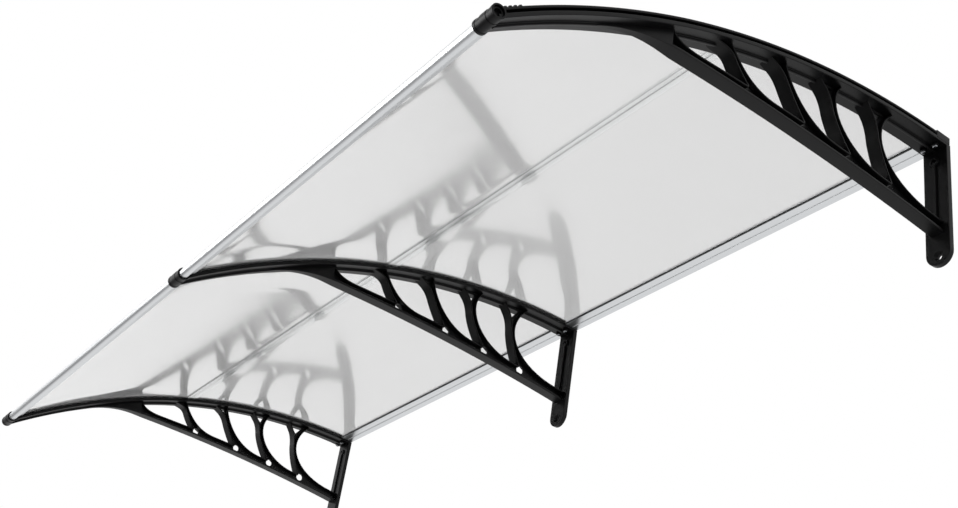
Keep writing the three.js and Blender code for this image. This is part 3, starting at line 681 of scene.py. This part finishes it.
def panel_bodies(s):
    """The panel below the flange: a web, a chord that runs out into a solid fin, and walls around the windows."""
    def along_roof(start, end):
        reaches = [start + (end - start) * i / ROOF_STEPS for i in range(ROOF_STEPS + 1)]
        return [Vector((-reach, flange_core(s, reach) + WEB_RISE)) for reach in reaches]

    def raised(points, height):
        return [p + Vector((0, height)) for p in points]

    half, loops, low = s.panel_width / 2, windows(s), chord_bottom(s, s.split)
    nose = NOSE["tip"] * MM + s.rim_wall / 2
    front = nose + s.rim_wall
    reaches = [s.split * i / CURVE_STEPS for i in range(CURVE_STEPS + 1)]
    under = [Vector((-reach, chord_bottom(s, reach))) for reach in reaches]
    under[0].x = -s.fit
    fin = bent([Vector((-s.fin_start, low)), Vector((-s.fin_bend, low)),
                Vector((-s.fin_end, roof_z(s, s.fin_end, -s.flange - s.rib_depth)))])

    outline = raised(under + [Vector((-front, low))], s.chord_wall / 2) + along_roof(front, s.fit)
    holes = [grown(s, loop, s.rim_wall / 3) for loop in loops]
    holes += [fork_gap(s, strut) for strut in STRUTS[1:]] + [foot_hole(s, strut) for strut in STRUTS]
    web = plate([outline, *holes], -s.web / 2, s.web / 2, 0, ALONG_X)
    inner = raised([Vector((-nose, low)), *reversed(under)], s.chord_wall)
    chord = plate([under + fin + along_roof(s.fin_end, nose) + inner], -half, half, s.edge, ALONG_X)
    walls = []
    for i, loop in enumerate(loops):
        side = half - HIDDEN_STEP * (1 + i % 2)
        walls.append(plate([grown(s, loop, s.rim_wall) + loop[::-1]], -side, side, s.edge, ALONG_X))

    for bm in (web, chord, walls[0]):
        for reach in (s.split + (s.fin_end - s.split) * i / FIN_STEPS for i in range(FIN_STEPS + 1)):
            bmesh.ops.bisect_plane(
                bm, geom=[*bm.verts, *bm.edges, *bm.faces], dist=BISECT_SNAP, plane_co=(0, -reach, 0),
                plane_no=(0, 1, 0))
        for vert in bm.verts:
            vert.co.x *= fin_share(s, -vert.co.y)
    pierced = []
    for bm in (chord, *walls):
        cuts = [plate([foot_hole(s, strut)], -half - s.edge, half + s.edge, 0, ALONG_X) for strut in STRUTS]
        pierced.append(combined(bm, cuts, "DIFFERENCE"))
    return [web, *pierced]


def fin_share(s, reach):
    """What is left of the panel's width at a distance from the wall."""
    fin, end = s.fin_width / s.panel_width, s.rib_width / s.panel_width
    if reach < s.fin_bend:
        return 1 + (fin - 1) * max(0.0, (reach - s.split) / (s.fin_bend - s.split))
    return fin + (end - fin) * min(1.0, (reach - s.fin_bend) / (s.fin_end - s.fin_bend))


def leg_bodies(s):
    """The wall leg with its rib, boss and countersunk foot hole."""
    radius = s.flange_width / 2 - HIDDEN_STEP
    top, foot = s.leg_height / 2, radius - s.leg_height / 2
    turns = [math.pi * i / LEG_STEPS for i in range(LEG_STEPS + 1)]
    bend = [Vector((-radius * math.cos(t), foot - radius * math.sin(t))) for t in turns]
    outline = [Vector((radius, top)), Vector((-radius, top))] + bend
    upper, lower = crest_z(s) - s.boss_drop, s.foot_hole - s.leg_height / 2
    hole, sink = s.wall_hole / 2, s.wall_hole_sink / 2
    body = plate([outline, ring((0, upper), hole), ring((0, lower), sink)], 0, s.leg_thickness, s.edge, ALONG_Y)
    seat = s.leg_thickness / 2
    wide = sink + 2 * s.edge
    cone = lathed([(hole, s.fit), (wide, s.fit), (wide, s.leg_thickness - s.edge),
                   (sink, s.leg_thickness - s.edge), (hole, seat)])
    boss = lathed([(hole, seat), (s.boss / 2, seat), (s.boss / 2, s.leg_thickness + s.boss_length),
                   (hole, s.leg_thickness + s.boss_length)], s.edge)
    cone = moved(cone, (0, 0, lower), math.pi / 2)
    boss = moved(boss, (0, 0, upper), math.pi / 2)
    rib_foot = chord_bottom(s, 0) + s.chord_tip / 2
    rib = prism(block(-s.leg_thickness - s.leg_rib, -seat, rib_foot, upper), -s.rib_width / 2, s.rib_width / 2)
    round_edges(rib, s.edge / 2)
    return [body, cone, rib, boss]


def rail_bodies(s):
    """The flange under the sheets with its spine and rib, sunk at the wall for the rear bars."""
    half, rib, spine = s.flange_width / 2, s.rib_width / 2, s.spine_width / 2
    low, deep, high = -s.flange, -s.flange - s.rib_depth, sheet_top(s)

    def section(top):
        return [(-half, low), (-rib, low), (-rib, deep), (rib, deep), (rib, low), (half, low), (half, top),
                (spine, top), (spine, high), (-spine, high), (-spine, top), (-half, top)]

    edge = roof_angle(s, s.wall_gap + s.rear_depth + s.fit)
    rear = spun(s, section(seat_height(s)), roof_angle(s, s.wall_gap), edge + RAIL_LAP, s.edge / 2, SEAT_STEPS)
    front = spun(s, section(0), edge, front_angle(s), s.edge, RAIL_STEPS)
    for bm in (rear, front):
        narrow_front(s, bm)
    pads = []
    bore, wide = screw_bore(s), s.bar_screw_pad / 2
    floor, top = pad_floor(s), roof_z(s, s.bar_screw_reach, low / 2)
    for side in (-1, 1):
        pad = lathed([(bore, floor), (wide, floor), (wide, top), (bore, top)], s.edge / 2)
        pads.append(moved(pad, (side * s.bar_screw_x, -s.bar_screw_reach, 0)))
    return [front, rear, *pads]


def narrow_front(s, bm):
    """Narrows a body in plan, evenly from the split to the collar."""
    for vert in bm.verts:
        share = max(0.0, (-vert.co.y - s.split) / (s.reach - s.split))
        vert.co.x *= 1 + share * (s.flange_front / s.flange_width - 1)


def collar_body(s):
    """The front collar: a sleeve with raised lips and a middle band, closed by a partition."""
    end, outer, bore = s.collar_length / 2, s.collar / 2, s.bar / 2 + s.fit
    neck, lip = outer - COLLAR_STEP, end - COLLAR_LIP
    half = [(COLLAR_BAND, outer), (COLLAR_BAND, neck), (lip, neck), (lip, outer), (end, outer), (end, bore)]
    wall = s.collar_wall / 2
    profile = [(r, x) for x, r in half] + [(bore, wall), (0, wall)]
    sleeve = lathed([(r, -x) for r, x in reversed(profile)] + profile, ROUNDING["collar"] * MM)
    return moved(laid(sleeve, 1), (0, *front_axis(s)))


class CanopyOperator:
    """What all operators of the canopy share"""
    bl_options = {"REGISTER", "UNDO"}

    def execute(self, context):
        self.make(context.scene.canopy_sizes, context.scene.canopy_colours)
        return {"FINISHED"}


class CANOPY_OT_brackets(CanopyOperator, bpy.types.Operator):
    """Makes the moulded brackets, one closed moulding each"""
    bl_idname = "canopy.brackets"
    bl_label = "Brackets"

    def make(self, s, colours):
        rail, *rails = rail_bodies(s)
        whole = combined(rail, [*rails, *panel_bodies(s), *leg_bodies(s), collar_body(s)], "UNION")
        add_copies(whole, along(s, "bracket", SIDES), moulded_polypropylene(colours))


class CANOPY_OT_cover_strips(CanopyOperator, bpy.types.Operator):
    """Makes the strips that clamp the sheets on the brackets, with teeth near the collar"""
    bl_idname = "canopy.cover_strips"
    bl_label = "Cover strips"

    def make(self, s, colours):
        half = s.flange_width / 2
        start, end = strip_ends(s)
        low, high = strip_floor(s), strip_roof(s)
        band = spun(s, [(-half, low), (half, low), (half, high), (-half, high)], start, end, s.edge, RAIL_STEPS)
        teeth = []
        for i in range(TEETH):
            middle = end - s.tooth_pitch * (i + 0.5) / s.roof_radius
            wide = s.tooth_pitch / 4 / s.roof_radius
            section = [(-half, low + s.strip / 2), (half, low + s.strip / 2), (half, high + s.tooth),
                       (-half, high + s.tooth)]
            tooth = spun(s, section, middle - wide, middle + wide, s.edge, 1)
            round_edges(tooth, s.edge / 2)
            teeth.append(tooth)
        strip = combined(band, teeth, "UNION")
        narrow_front(s, strip)
        holes = [moved(pin(screw_bore(s), low - s.strip, high + s.strip), (0, *roof_point(s, angle, 0)), angle)
                 for angle in screw_angles(s)]
        strip = combined(strip, holes, "DIFFERENCE")
        add_copies(strip, along(s, "cover_strip", SIDES), moulded_polypropylene(colours))


class CANOPY_OT_screws(CanopyOperator, bpy.types.Operator):
    """Makes the pan-head screws with their cross recesses"""
    bl_idname = "canopy.screws"
    bl_label = "Screws"

    def screw(self, s, shank):
        """A screw along Z: the seat of its head at the origin, the shank going down."""
        radius, height = s.screw_head / 2, s.screw_head_height
        turns = [math.pi / 2 * i / DOME_STEPS for i in range(DOME_STEPS)]
        dome = [(radius * math.cos(t), height * (HEAD_RIM + (1 - HEAD_RIM) * math.sin(t))) for t in turns]
        profile = [(0, -shank), (s.screw / 2 - s.fit, -shank), (s.screw / 2, s.screw / 2 - shank),
                   (s.screw / 2, 0), (radius, 0), *dome, (0, height)]
        body = lathed(profile, steps=SCREW_STEPS)
        arm = CROSS_ARM * radius
        cuts = [prism(block(-deep, deep, CROSS_FLOOR * height, 2 * height), -wide, wide)
                for wide, deep in ((CROSS_HALF, arm), (arm, CROSS_HALF))]
        return combined(body, cuts, "DIFFERENCE")

    def make(self, s, colours):
        steel = zinc_plate(colours)
        for i, angle in enumerate(screw_angles(s), 1):
            body = moved(self.screw(s, s.strip_screw_length), tilt=angle)
            seat = roof_point(s, angle, strip_roof(s) + s.fit)
            places = {f"strip_screw_{name}_{i}": (side * s.bay, *seat) for name, side in SIDES.items()}
            add_copies(body, places, steel)
        shank = roof_z(s, s.bar_screw_reach, rear_floor(s) + s.rear_jaw) - pad_floor(s)
        body = moved(self.screw(s, shank), tilt=math.pi)
        places = {
            f"bar_screw_{name}_{label}":
            (side * s.bay + hand * s.bar_screw_x, -s.bar_screw_reach, pad_floor(s) - s.fit)
            for name, side in SIDES.items() for label, hand in (("a", -1), ("b", 1))}
        add_copies(body, places, steel)


class CANOPY_OT_sheets(CanopyOperator, bpy.types.Operator):
    """Makes the half sheets, which lose some of their curve between the brackets and so sag a little"""
    bl_idname = "canopy.sheets"
    bl_label = "Sheets"

    def sheet(self, s, start, end):
        edge = beside_spine(s)
        held = s.flange_width / 2 / s.bay
        free = (end - start) / 2 - s.joint_width / s.roof_radius
        rise = s.roof_radius * (1 - math.cos(free))
        bm = bmesh.new()
        bmesh.ops.create_grid(bm, x_segments=SHEET_STEPS[0], y_segments=SHEET_STEPS[1], size=0.5)
        for vert in bm.verts:
            across, down = vert.co.x + 0.5, vert.co.y + 0.5
            angle = start + (end - start) * down
            loose = smooth_step(min(across, 1 - across), held, SAG_FULL * held)
            off = min(1.0, abs(angle - (start + end) / 2) / free)
            height = s.fit - SAG * rise * loose * (1 - off ** 2)
            vert.co = (edge + (s.bay - 2 * edge) * across, *roof_point(s, angle, height))
        bmesh.ops.recalc_face_normals(bm, faces=bm.faces)
        if bm.faces[:][0].normal.z < 0:
            bmesh.ops.reverse_faces(bm, faces=bm.faces)
        bmesh.ops.solidify(bm, geom=bm.faces[:], thickness=-s.sheet)
        bmesh.ops.recalc_face_normals(bm, faces=bm.faces)
        return bm

    def make(self, s, colours):
        joint = (s.joint_wall / 2 + s.fit) / s.roof_radius
        middle = roof_angle(s, s.joint_reach)
        rear = self.sheet(s, roof_angle(s, s.wall_gap + s.rear_depth - s.rear_slot + 2 * s.fit), middle - joint)
        front = self.sheet(s, middle + joint, front_angle(s) - (s.collar / 2 + s.fit) / s.roof_radius)
        for row, body in (("rear", rear), ("front", front)):
            add_copies(body, along(s, f"sheet_{row}", BAYS), frosted_polycarbonate(colours))


class CANOPY_OT_joint_strips(CanopyOperator, bpy.types.Operator):
    """Makes the clear strips of H section that join the half sheets"""
    bl_idname = "canopy.joint_strips"
    bl_label = "Joint strips"

    def make(self, s, colours):
        low, high = 0, sheet_top(s) + s.fit
        half, web, wall = s.joint_width / 2, s.joint_wall / 2, s.joint_wall
        section = [(-half, low - wall), (half, low - wall), (half, low), (web, low), (web, high), (half, high),
                   (half, high + wall), (-half, high + wall), (-half, high), (-web, high), (-web, low),
                   (-half, low)]
        end = beside_flange(s)
        angle = roof_angle(s, s.joint_reach)
        body = prism(section, end, s.bay - end, ROUNDING["joint strip"] * MM)
        body = moved(body, (0, *roof_point(s, angle, 0)), angle)
        add_copies(body, along(s, "joint_strip", BAYS), clear_polycarbonate(colours))


class CANOPY_OT_front_bars(CanopyOperator, bpy.types.Operator):
    """Makes the front bars: tubes with two lips that hold the sheets"""
    bl_idname = "canopy.front_bars"
    bl_label = "Front bars"

    def make(self, s, colours):
        end = s.collar_length / 2
        outer, slot = s.bar / 2, s.sheet / 2 + s.fit
        inside = ring((0, 0), outer - s.bar_wall, BAR_STEPS)
        tube = plate([ring((0, 0), outer, BAR_STEPS), inside], end - s.spigot, s.bay - end + s.spigot,
                     ROUNDING["tube"] * MM, ALONG_X)
        back = s.collar / 2 + 2 * s.fit + s.jaw_grip
        lips = [prism(block(outer - s.bar_wall, back, *sorted((way * slot, way * (slot + s.jaw)))),
                      end + s.fit, s.bay - end - s.fit, ROUNDING["lip"] * MM) for way in (-1, 1)]
        body = combined(tube, lips, "UNION")
        body = combined(body, [plate([inside], 0, s.bay, 0, ALONG_X)], "DIFFERENCE")
        body = moved(body, (0, *front_axis(s)), front_angle(s))
        add_copies(body, along(s, "front_bar", BAYS), anodised_aluminium(colours))


class CANOPY_OT_rear_bars(CanopyOperator, bpy.types.Operator):
    """Makes the bars at the wall, with a slot for the sheet, a hollow chamber and a groove between"""
    bl_idname = "canopy.rear_bars"
    bl_label = "Rear bars"

    def make(self, s, colours):
        front, back = -s.rear_depth / 2, s.rear_depth / 2
        low, high = rear_floor(s), rear_roof(s)
        floor, roof, slot, groove = low + s.rear_jaw, high - s.rear_jaw, front + s.rear_slot, s.rear_jaw / 2
        section = [(front, low), (slot - groove, low), (slot - groove / 2, low + groove),
                   (slot + groove / 2, low + groove), (slot + groove, low), (back, low),
                   (back, high), (front, high), (front, roof), (slot, roof), (slot, floor), (front, floor)]
        end = beside_spine(s)
        bar = prism(section, end, s.bay - end, ROUNDING["rear bar"] * MM)
        chamber = block(slot + s.rear_jaw, back - s.rear_back, floor + s.fit, roof - s.fit)
        offset = s.bar_screw_reach - s.wall_gap - s.rear_depth / 2
        holes = [moved(pin(screw_bore(s), low - s.rear_jaw, floor + s.fit), (x, -offset, 0))
                 for x in (s.bar_screw_x, s.bay - s.bar_screw_x)]
        body = combined(bar, [prism(chamber, 0, s.bay), *holes], "DIFFERENCE")
        angle = rear_angle(s)
        body = moved(body, (0, *roof_point(s, angle, 0)), angle)
        add_copies(body, along(s, "rear_bar", BAYS), anodised_aluminium(colours))


class CANOPY_OT_seals(CanopyOperator, bpy.types.Operator):
    """Makes the seals between the rear bars and the sheets"""
    bl_idname = "canopy.seals"
    bl_label = "Seals"

    def make(self, s, colours):
        front, top = -s.rear_depth / 2 - s.fit, 0
        back = front + s.rear_slot / 2
        section = [(front - s.seal_lip, rear_floor(s)), (front, rear_floor(s)), (front, top - s.seal_tongue),
                   (back, top - s.seal_tongue), (back, top), (front - s.seal_lip, top)]
        end = beside_flange(s)
        angle = rear_angle(s)
        body = prism(section, end, s.bay - end, ROUNDING["seal"] * MM)
        body = moved(body, (0, *roof_point(s, angle, 0)), angle)
        add_copies(body, along(s, "rear_seal", BAYS), seal_rubber(colours))


class CANOPY_OT_ends(CanopyOperator, bpy.types.Operator):
    """Makes the plugs of the end collars and the stops beside the rear bars"""
    bl_idname = "canopy.ends"
    bl_label = "Plugs and stops"

    def make(self, s, colours):
        plastic = moulded_polypropylene(colours)
        stem, recess, deep = s.bar / 2, s.plug_recess / 2, s.plug_sink + s.plug_recess_depth
        profile = [(0, -s.spigot), (stem, -s.spigot), (stem, -s.plug_sink), (recess, -s.plug_sink),
                   (recess, -deep), (0, -deep)]
        section = block(-s.rear_depth / 2, s.rear_depth / 2, rear_floor(s), strip_roof(s) + s.stop_rise)
        angle = rear_angle(s)
        for name in ("left", "right"):
            side = SIDES[name]
            plug = laid(lathed(profile, ROUNDING["plug"] * MM), side)
            plug = moved(plug, (side * (s.bay + s.collar_length / 2), *front_axis(s)))
            add_piece(f"collar_plug_{name}", plug, plastic)
            stop = prism(section, *sorted((side * beside_spine(s), side * s.flange_width / 2)))
            round_edges(stop, s.edge)
            stop = moved(stop, (side * s.bay, *roof_point(s, angle, 0)), angle)
            add_piece(f"rear_stop_{name}", stop, plastic)


# Studio

FLOOR_Z = -4.5  # lower than under a real door, so that the canopy can be looked at from below
FLOOR_SIZE = 40.0  # from its middle to its edges
FLOOR_GLOW = 0.7  # how much of the floor is plain white where it is seen directly, the rest is lit
ROOM_LIGHT = 0.3  # strength of the light from all sides
DIM = 0.35  # what is left of the white room behind the camera, as gloss sees it
# Soft boxes: place, width, height, power in watts, and whether gloss shows them
LAMPS = {
    "key": ((-1.6, -3.4, 0.2), 2.4, 2.4, 90, True),
    "top": ((-0.6, -1.2, 2.8), 3.0, 3.0, 140, False),
    "back": ((-2.6, 2.6, 0.6), 2.4, 2.0, 40, False),
}
CAMERA_PLACE = (2.21557, -1.54947, -1.31185)
CAMERA_RIGHT = Vector((0.56760756, 0.81055608, 0.14429307))
CAMERA_FORWARD = Vector((-0.74531739, 0.4314376, 0.50829479))
CAMERA_LENS, CAMERA_SENSOR = 51.463, 36.0  # in millimetres
CAMERA_END = 60.0  # how far the camera sees


def add_lamp(name, target, place, wide, high, power, in_gloss):
    """A soft box that looks at a place. It isn't seen directly, nor through a sheet."""
    light = bpy.data.lights.new(name, "AREA")
    light.shape = "RECTANGLE"
    light.size = wide
    light.size_y = high
    light.energy = power
    lamp = bpy.data.objects.new(name, light)
    lamp.location = place
    lamp.rotation_euler = (Vector(target) - Vector(place)).to_track_quat("-Z", "Y").to_euler()
    lamp.visible_camera = False
    lamp.visible_transmission = False
    lamp.visible_glossy = in_gloss
    bpy.context.scene.collection.objects.link(lamp)


def add_world():
    """A dim room for the light, and a white one for what is seen directly, in gloss or through a sheet."""
    world = bpy.data.worlds.new("studio")
    bpy.context.scene.world = world
    world.use_nodes = True
    tree = world.node_tree
    tree.nodes.clear()
    path = add_node(tree, "ShaderNodeLightPath")
    seen = add_node(tree, "ShaderNodeMath", {
        0: path.outputs["Is Camera Ray"], 1: path.outputs["Is Transmission Ray"]}, operation="MAXIMUM")
    # Gloss sees the white room too, but it is dim low down behind the camera
    where = add_node(tree, "ShaderNodeTexCoord").outputs["Generated"]
    sides = add_node(tree, "ShaderNodeSeparateXYZ", {"Vector": where})
    front = add_node(tree, "ShaderNodeMapRange", {
        "Value": sides.outputs["Y"], "From Min": 0.1, "From Max": -0.6}, interpolation_type="SMOOTHSTEP")
    low = add_node(tree, "ShaderNodeMapRange", {
        "Value": sides.outputs["Z"], "From Min": 0.3, "From Max": 0.0}, interpolation_type="SMOOTHSTEP")
    dark = add_node(tree, "ShaderNodeMath", {
        0: front.outputs["Result"], 1: low.outputs["Result"]}, operation="MULTIPLY")
    light = add_node(tree, "ShaderNodeMapRange", {"Value": dark.outputs["Value"], "To Min": 1.0, "To Max": DIM})
    room = add_node(tree, "ShaderNodeBackground", {"Color": (1, 1, 1, 1), "Strength": ROOM_LIGHT})
    gloss = add_node(tree, "ShaderNodeBackground", {"Color": (1, 1, 1, 1), "Strength": light.outputs["Result"]})
    white = add_node(tree, "ShaderNodeBackground", {"Color": (1, 1, 1, 1), "Strength": 1.0})
    lit = add_node(tree, "ShaderNodeMixShader", {
        0: path.outputs["Is Glossy Ray"], 1: room.outputs["Background"], 2: gloss.outputs["Background"]})
    whole = add_node(tree, "ShaderNodeMixShader", {
        0: seen.outputs["Value"], 1: lit.outputs["Shader"], 2: white.outputs["Background"]})
    add_node(tree, "ShaderNodeOutputWorld", {"Surface": whole.outputs["Shader"]})


@finish("studio floor paint")
def floor_paint(tree, colours):
    """Matt studio paint: pale with soft shadows, and as white as the room where gloss or a sheet shows it."""
    path = add_node(tree, "ShaderNodeLightPath")
    shown = add_node(tree, "ShaderNodeMath", {
        0: path.outputs["Is Glossy Ray"], 1: path.outputs["Is Transmission Ray"]}, operation="MAXIMUM")
    direct = add_node(tree, "ShaderNodeMath", {
        0: path.outputs["Is Camera Ray"], 1: FLOOR_GLOW}, operation="MULTIPLY")
    seen = add_node(tree, "ShaderNodeMath", {
        0: shown.outputs["Value"], 1: direct.outputs["Value"]}, operation="MAXIMUM")
    # In gloss it is as dim in front as the room is
    where = add_node(tree, "ShaderNodeNewGeometry").outputs["Position"]
    sides = add_node(tree, "ShaderNodeSeparateXYZ", {"Vector": where})
    dim = add_node(tree, "ShaderNodeMapRange", {
        "Value": sides.outputs["Y"], "From Min": -4.0, "From Max": 0.0, "To Min": DIM, "To Max": 1.0},
        interpolation_type="SMOOTHSTEP")
    glow = add_node(tree, "ShaderNodeMath", {
        0: dim.outputs["Result"], 1: path.outputs["Is Camera Ray"]}, operation="MAXIMUM")
    paint = add_node(tree, "ShaderNodeBsdfPrincipled", {"Base Color": (*colours.floor, 1), "Roughness": 0.9})
    white = add_node(tree, "ShaderNodeEmission", {"Color": (1, 1, 1, 1), "Strength": glow.outputs["Value"]})
    return add_node(tree, "ShaderNodeMixShader", {
        0: seen.outputs["Value"], 1: paint.outputs["BSDF"], 2: white.outputs["Emission"]}).outputs["Shader"]


class CANOPY_OT_stage(CanopyOperator, bpy.types.Operator):
    """Makes the floor, the lamps, the white surround and the camera"""
    bl_idname = "canopy.stage"
    bl_label = "Stage"

    def make(self, s, colours):
        bm = bmesh.new()
        bmesh.ops.create_grid(bm, x_segments=1, y_segments=1, size=FLOOR_SIZE)
        floor = linked("studio_floor", moved(bm, (0, 0, FLOOR_Z)))
        floor.data.materials.append(floor_paint(colours))

        for name, lamp in LAMPS.items():
            add_lamp(name, (0, -s.reach / 2, 0), *lamp)
        add_world()

        data = bpy.data.cameras.new("camera")
        data.lens = CAMERA_LENS
        data.sensor_width = CAMERA_SENSOR
        data.clip_end = CAMERA_END
        camera = bpy.data.objects.new("camera", data)
        up = CAMERA_RIGHT.cross(CAMERA_FORWARD)
        turn = Matrix((CAMERA_RIGHT, up, -CAMERA_FORWARD)).transposed()
        camera.matrix_world = Matrix.Translation(CAMERA_PLACE) @ turn.to_4x4()
        bpy.context.scene.collection.objects.link(camera)
        bpy.context.scene.camera = camera
        bpy.context.scene.view_settings.view_transform = "Standard"


class CANOPY_PT_panel(bpy.types.Panel):
    """Lists the canopy's sizes, colours and pieces"""
    bl_idname = "CANOPY_PT_panel"
    bl_label = "Door canopy"
    bl_space_type = "VIEW_3D"
    bl_region_type = "UI"
    bl_category = "Canopy"

    def draw(self, context):
        for operator in OPERATORS:
            self.layout.operator(operator.bl_idname)
        for group in (context.scene.canopy_sizes, context.scene.canopy_colours):
            box = self.layout.box()
            for name in group.__annotations__:
                box.prop(group, name)


OPERATORS = (
    CANOPY_OT_stage, CANOPY_OT_brackets, CANOPY_OT_cover_strips, CANOPY_OT_screws, CANOPY_OT_sheets,
    CANOPY_OT_joint_strips, CANOPY_OT_front_bars, CANOPY_OT_rear_bars, CANOPY_OT_seals, CANOPY_OT_ends)
CLASSES = (CanopySizes, CanopyColours, *OPERATORS, CANOPY_PT_panel)


def register():
    for cls in CLASSES:
        bpy.utils.register_class(cls)
    bpy.types.Scene.canopy_sizes = PointerProperty(type=CanopySizes)
    bpy.types.Scene.canopy_colours = PointerProperty(type=CanopyColours)


def unregister():
    del bpy.types.Scene.canopy_colours
    del bpy.types.Scene.canopy_sizes
    for cls in reversed(CLASSES):
        bpy.utils.unregister_class(cls)


def main():
    register()
    bpy.ops.canopy.stage()
    bpy.ops.canopy.brackets()
    bpy.ops.canopy.cover_strips()
    bpy.ops.canopy.screws()
    bpy.ops.canopy.sheets()
    bpy.ops.canopy.joint_strips()
    bpy.ops.canopy.front_bars()
    bpy.ops.canopy.rear_bars()
    bpy.ops.canopy.seals()
    bpy.ops.canopy.ends()


if __name__ == "__main__":
    main()
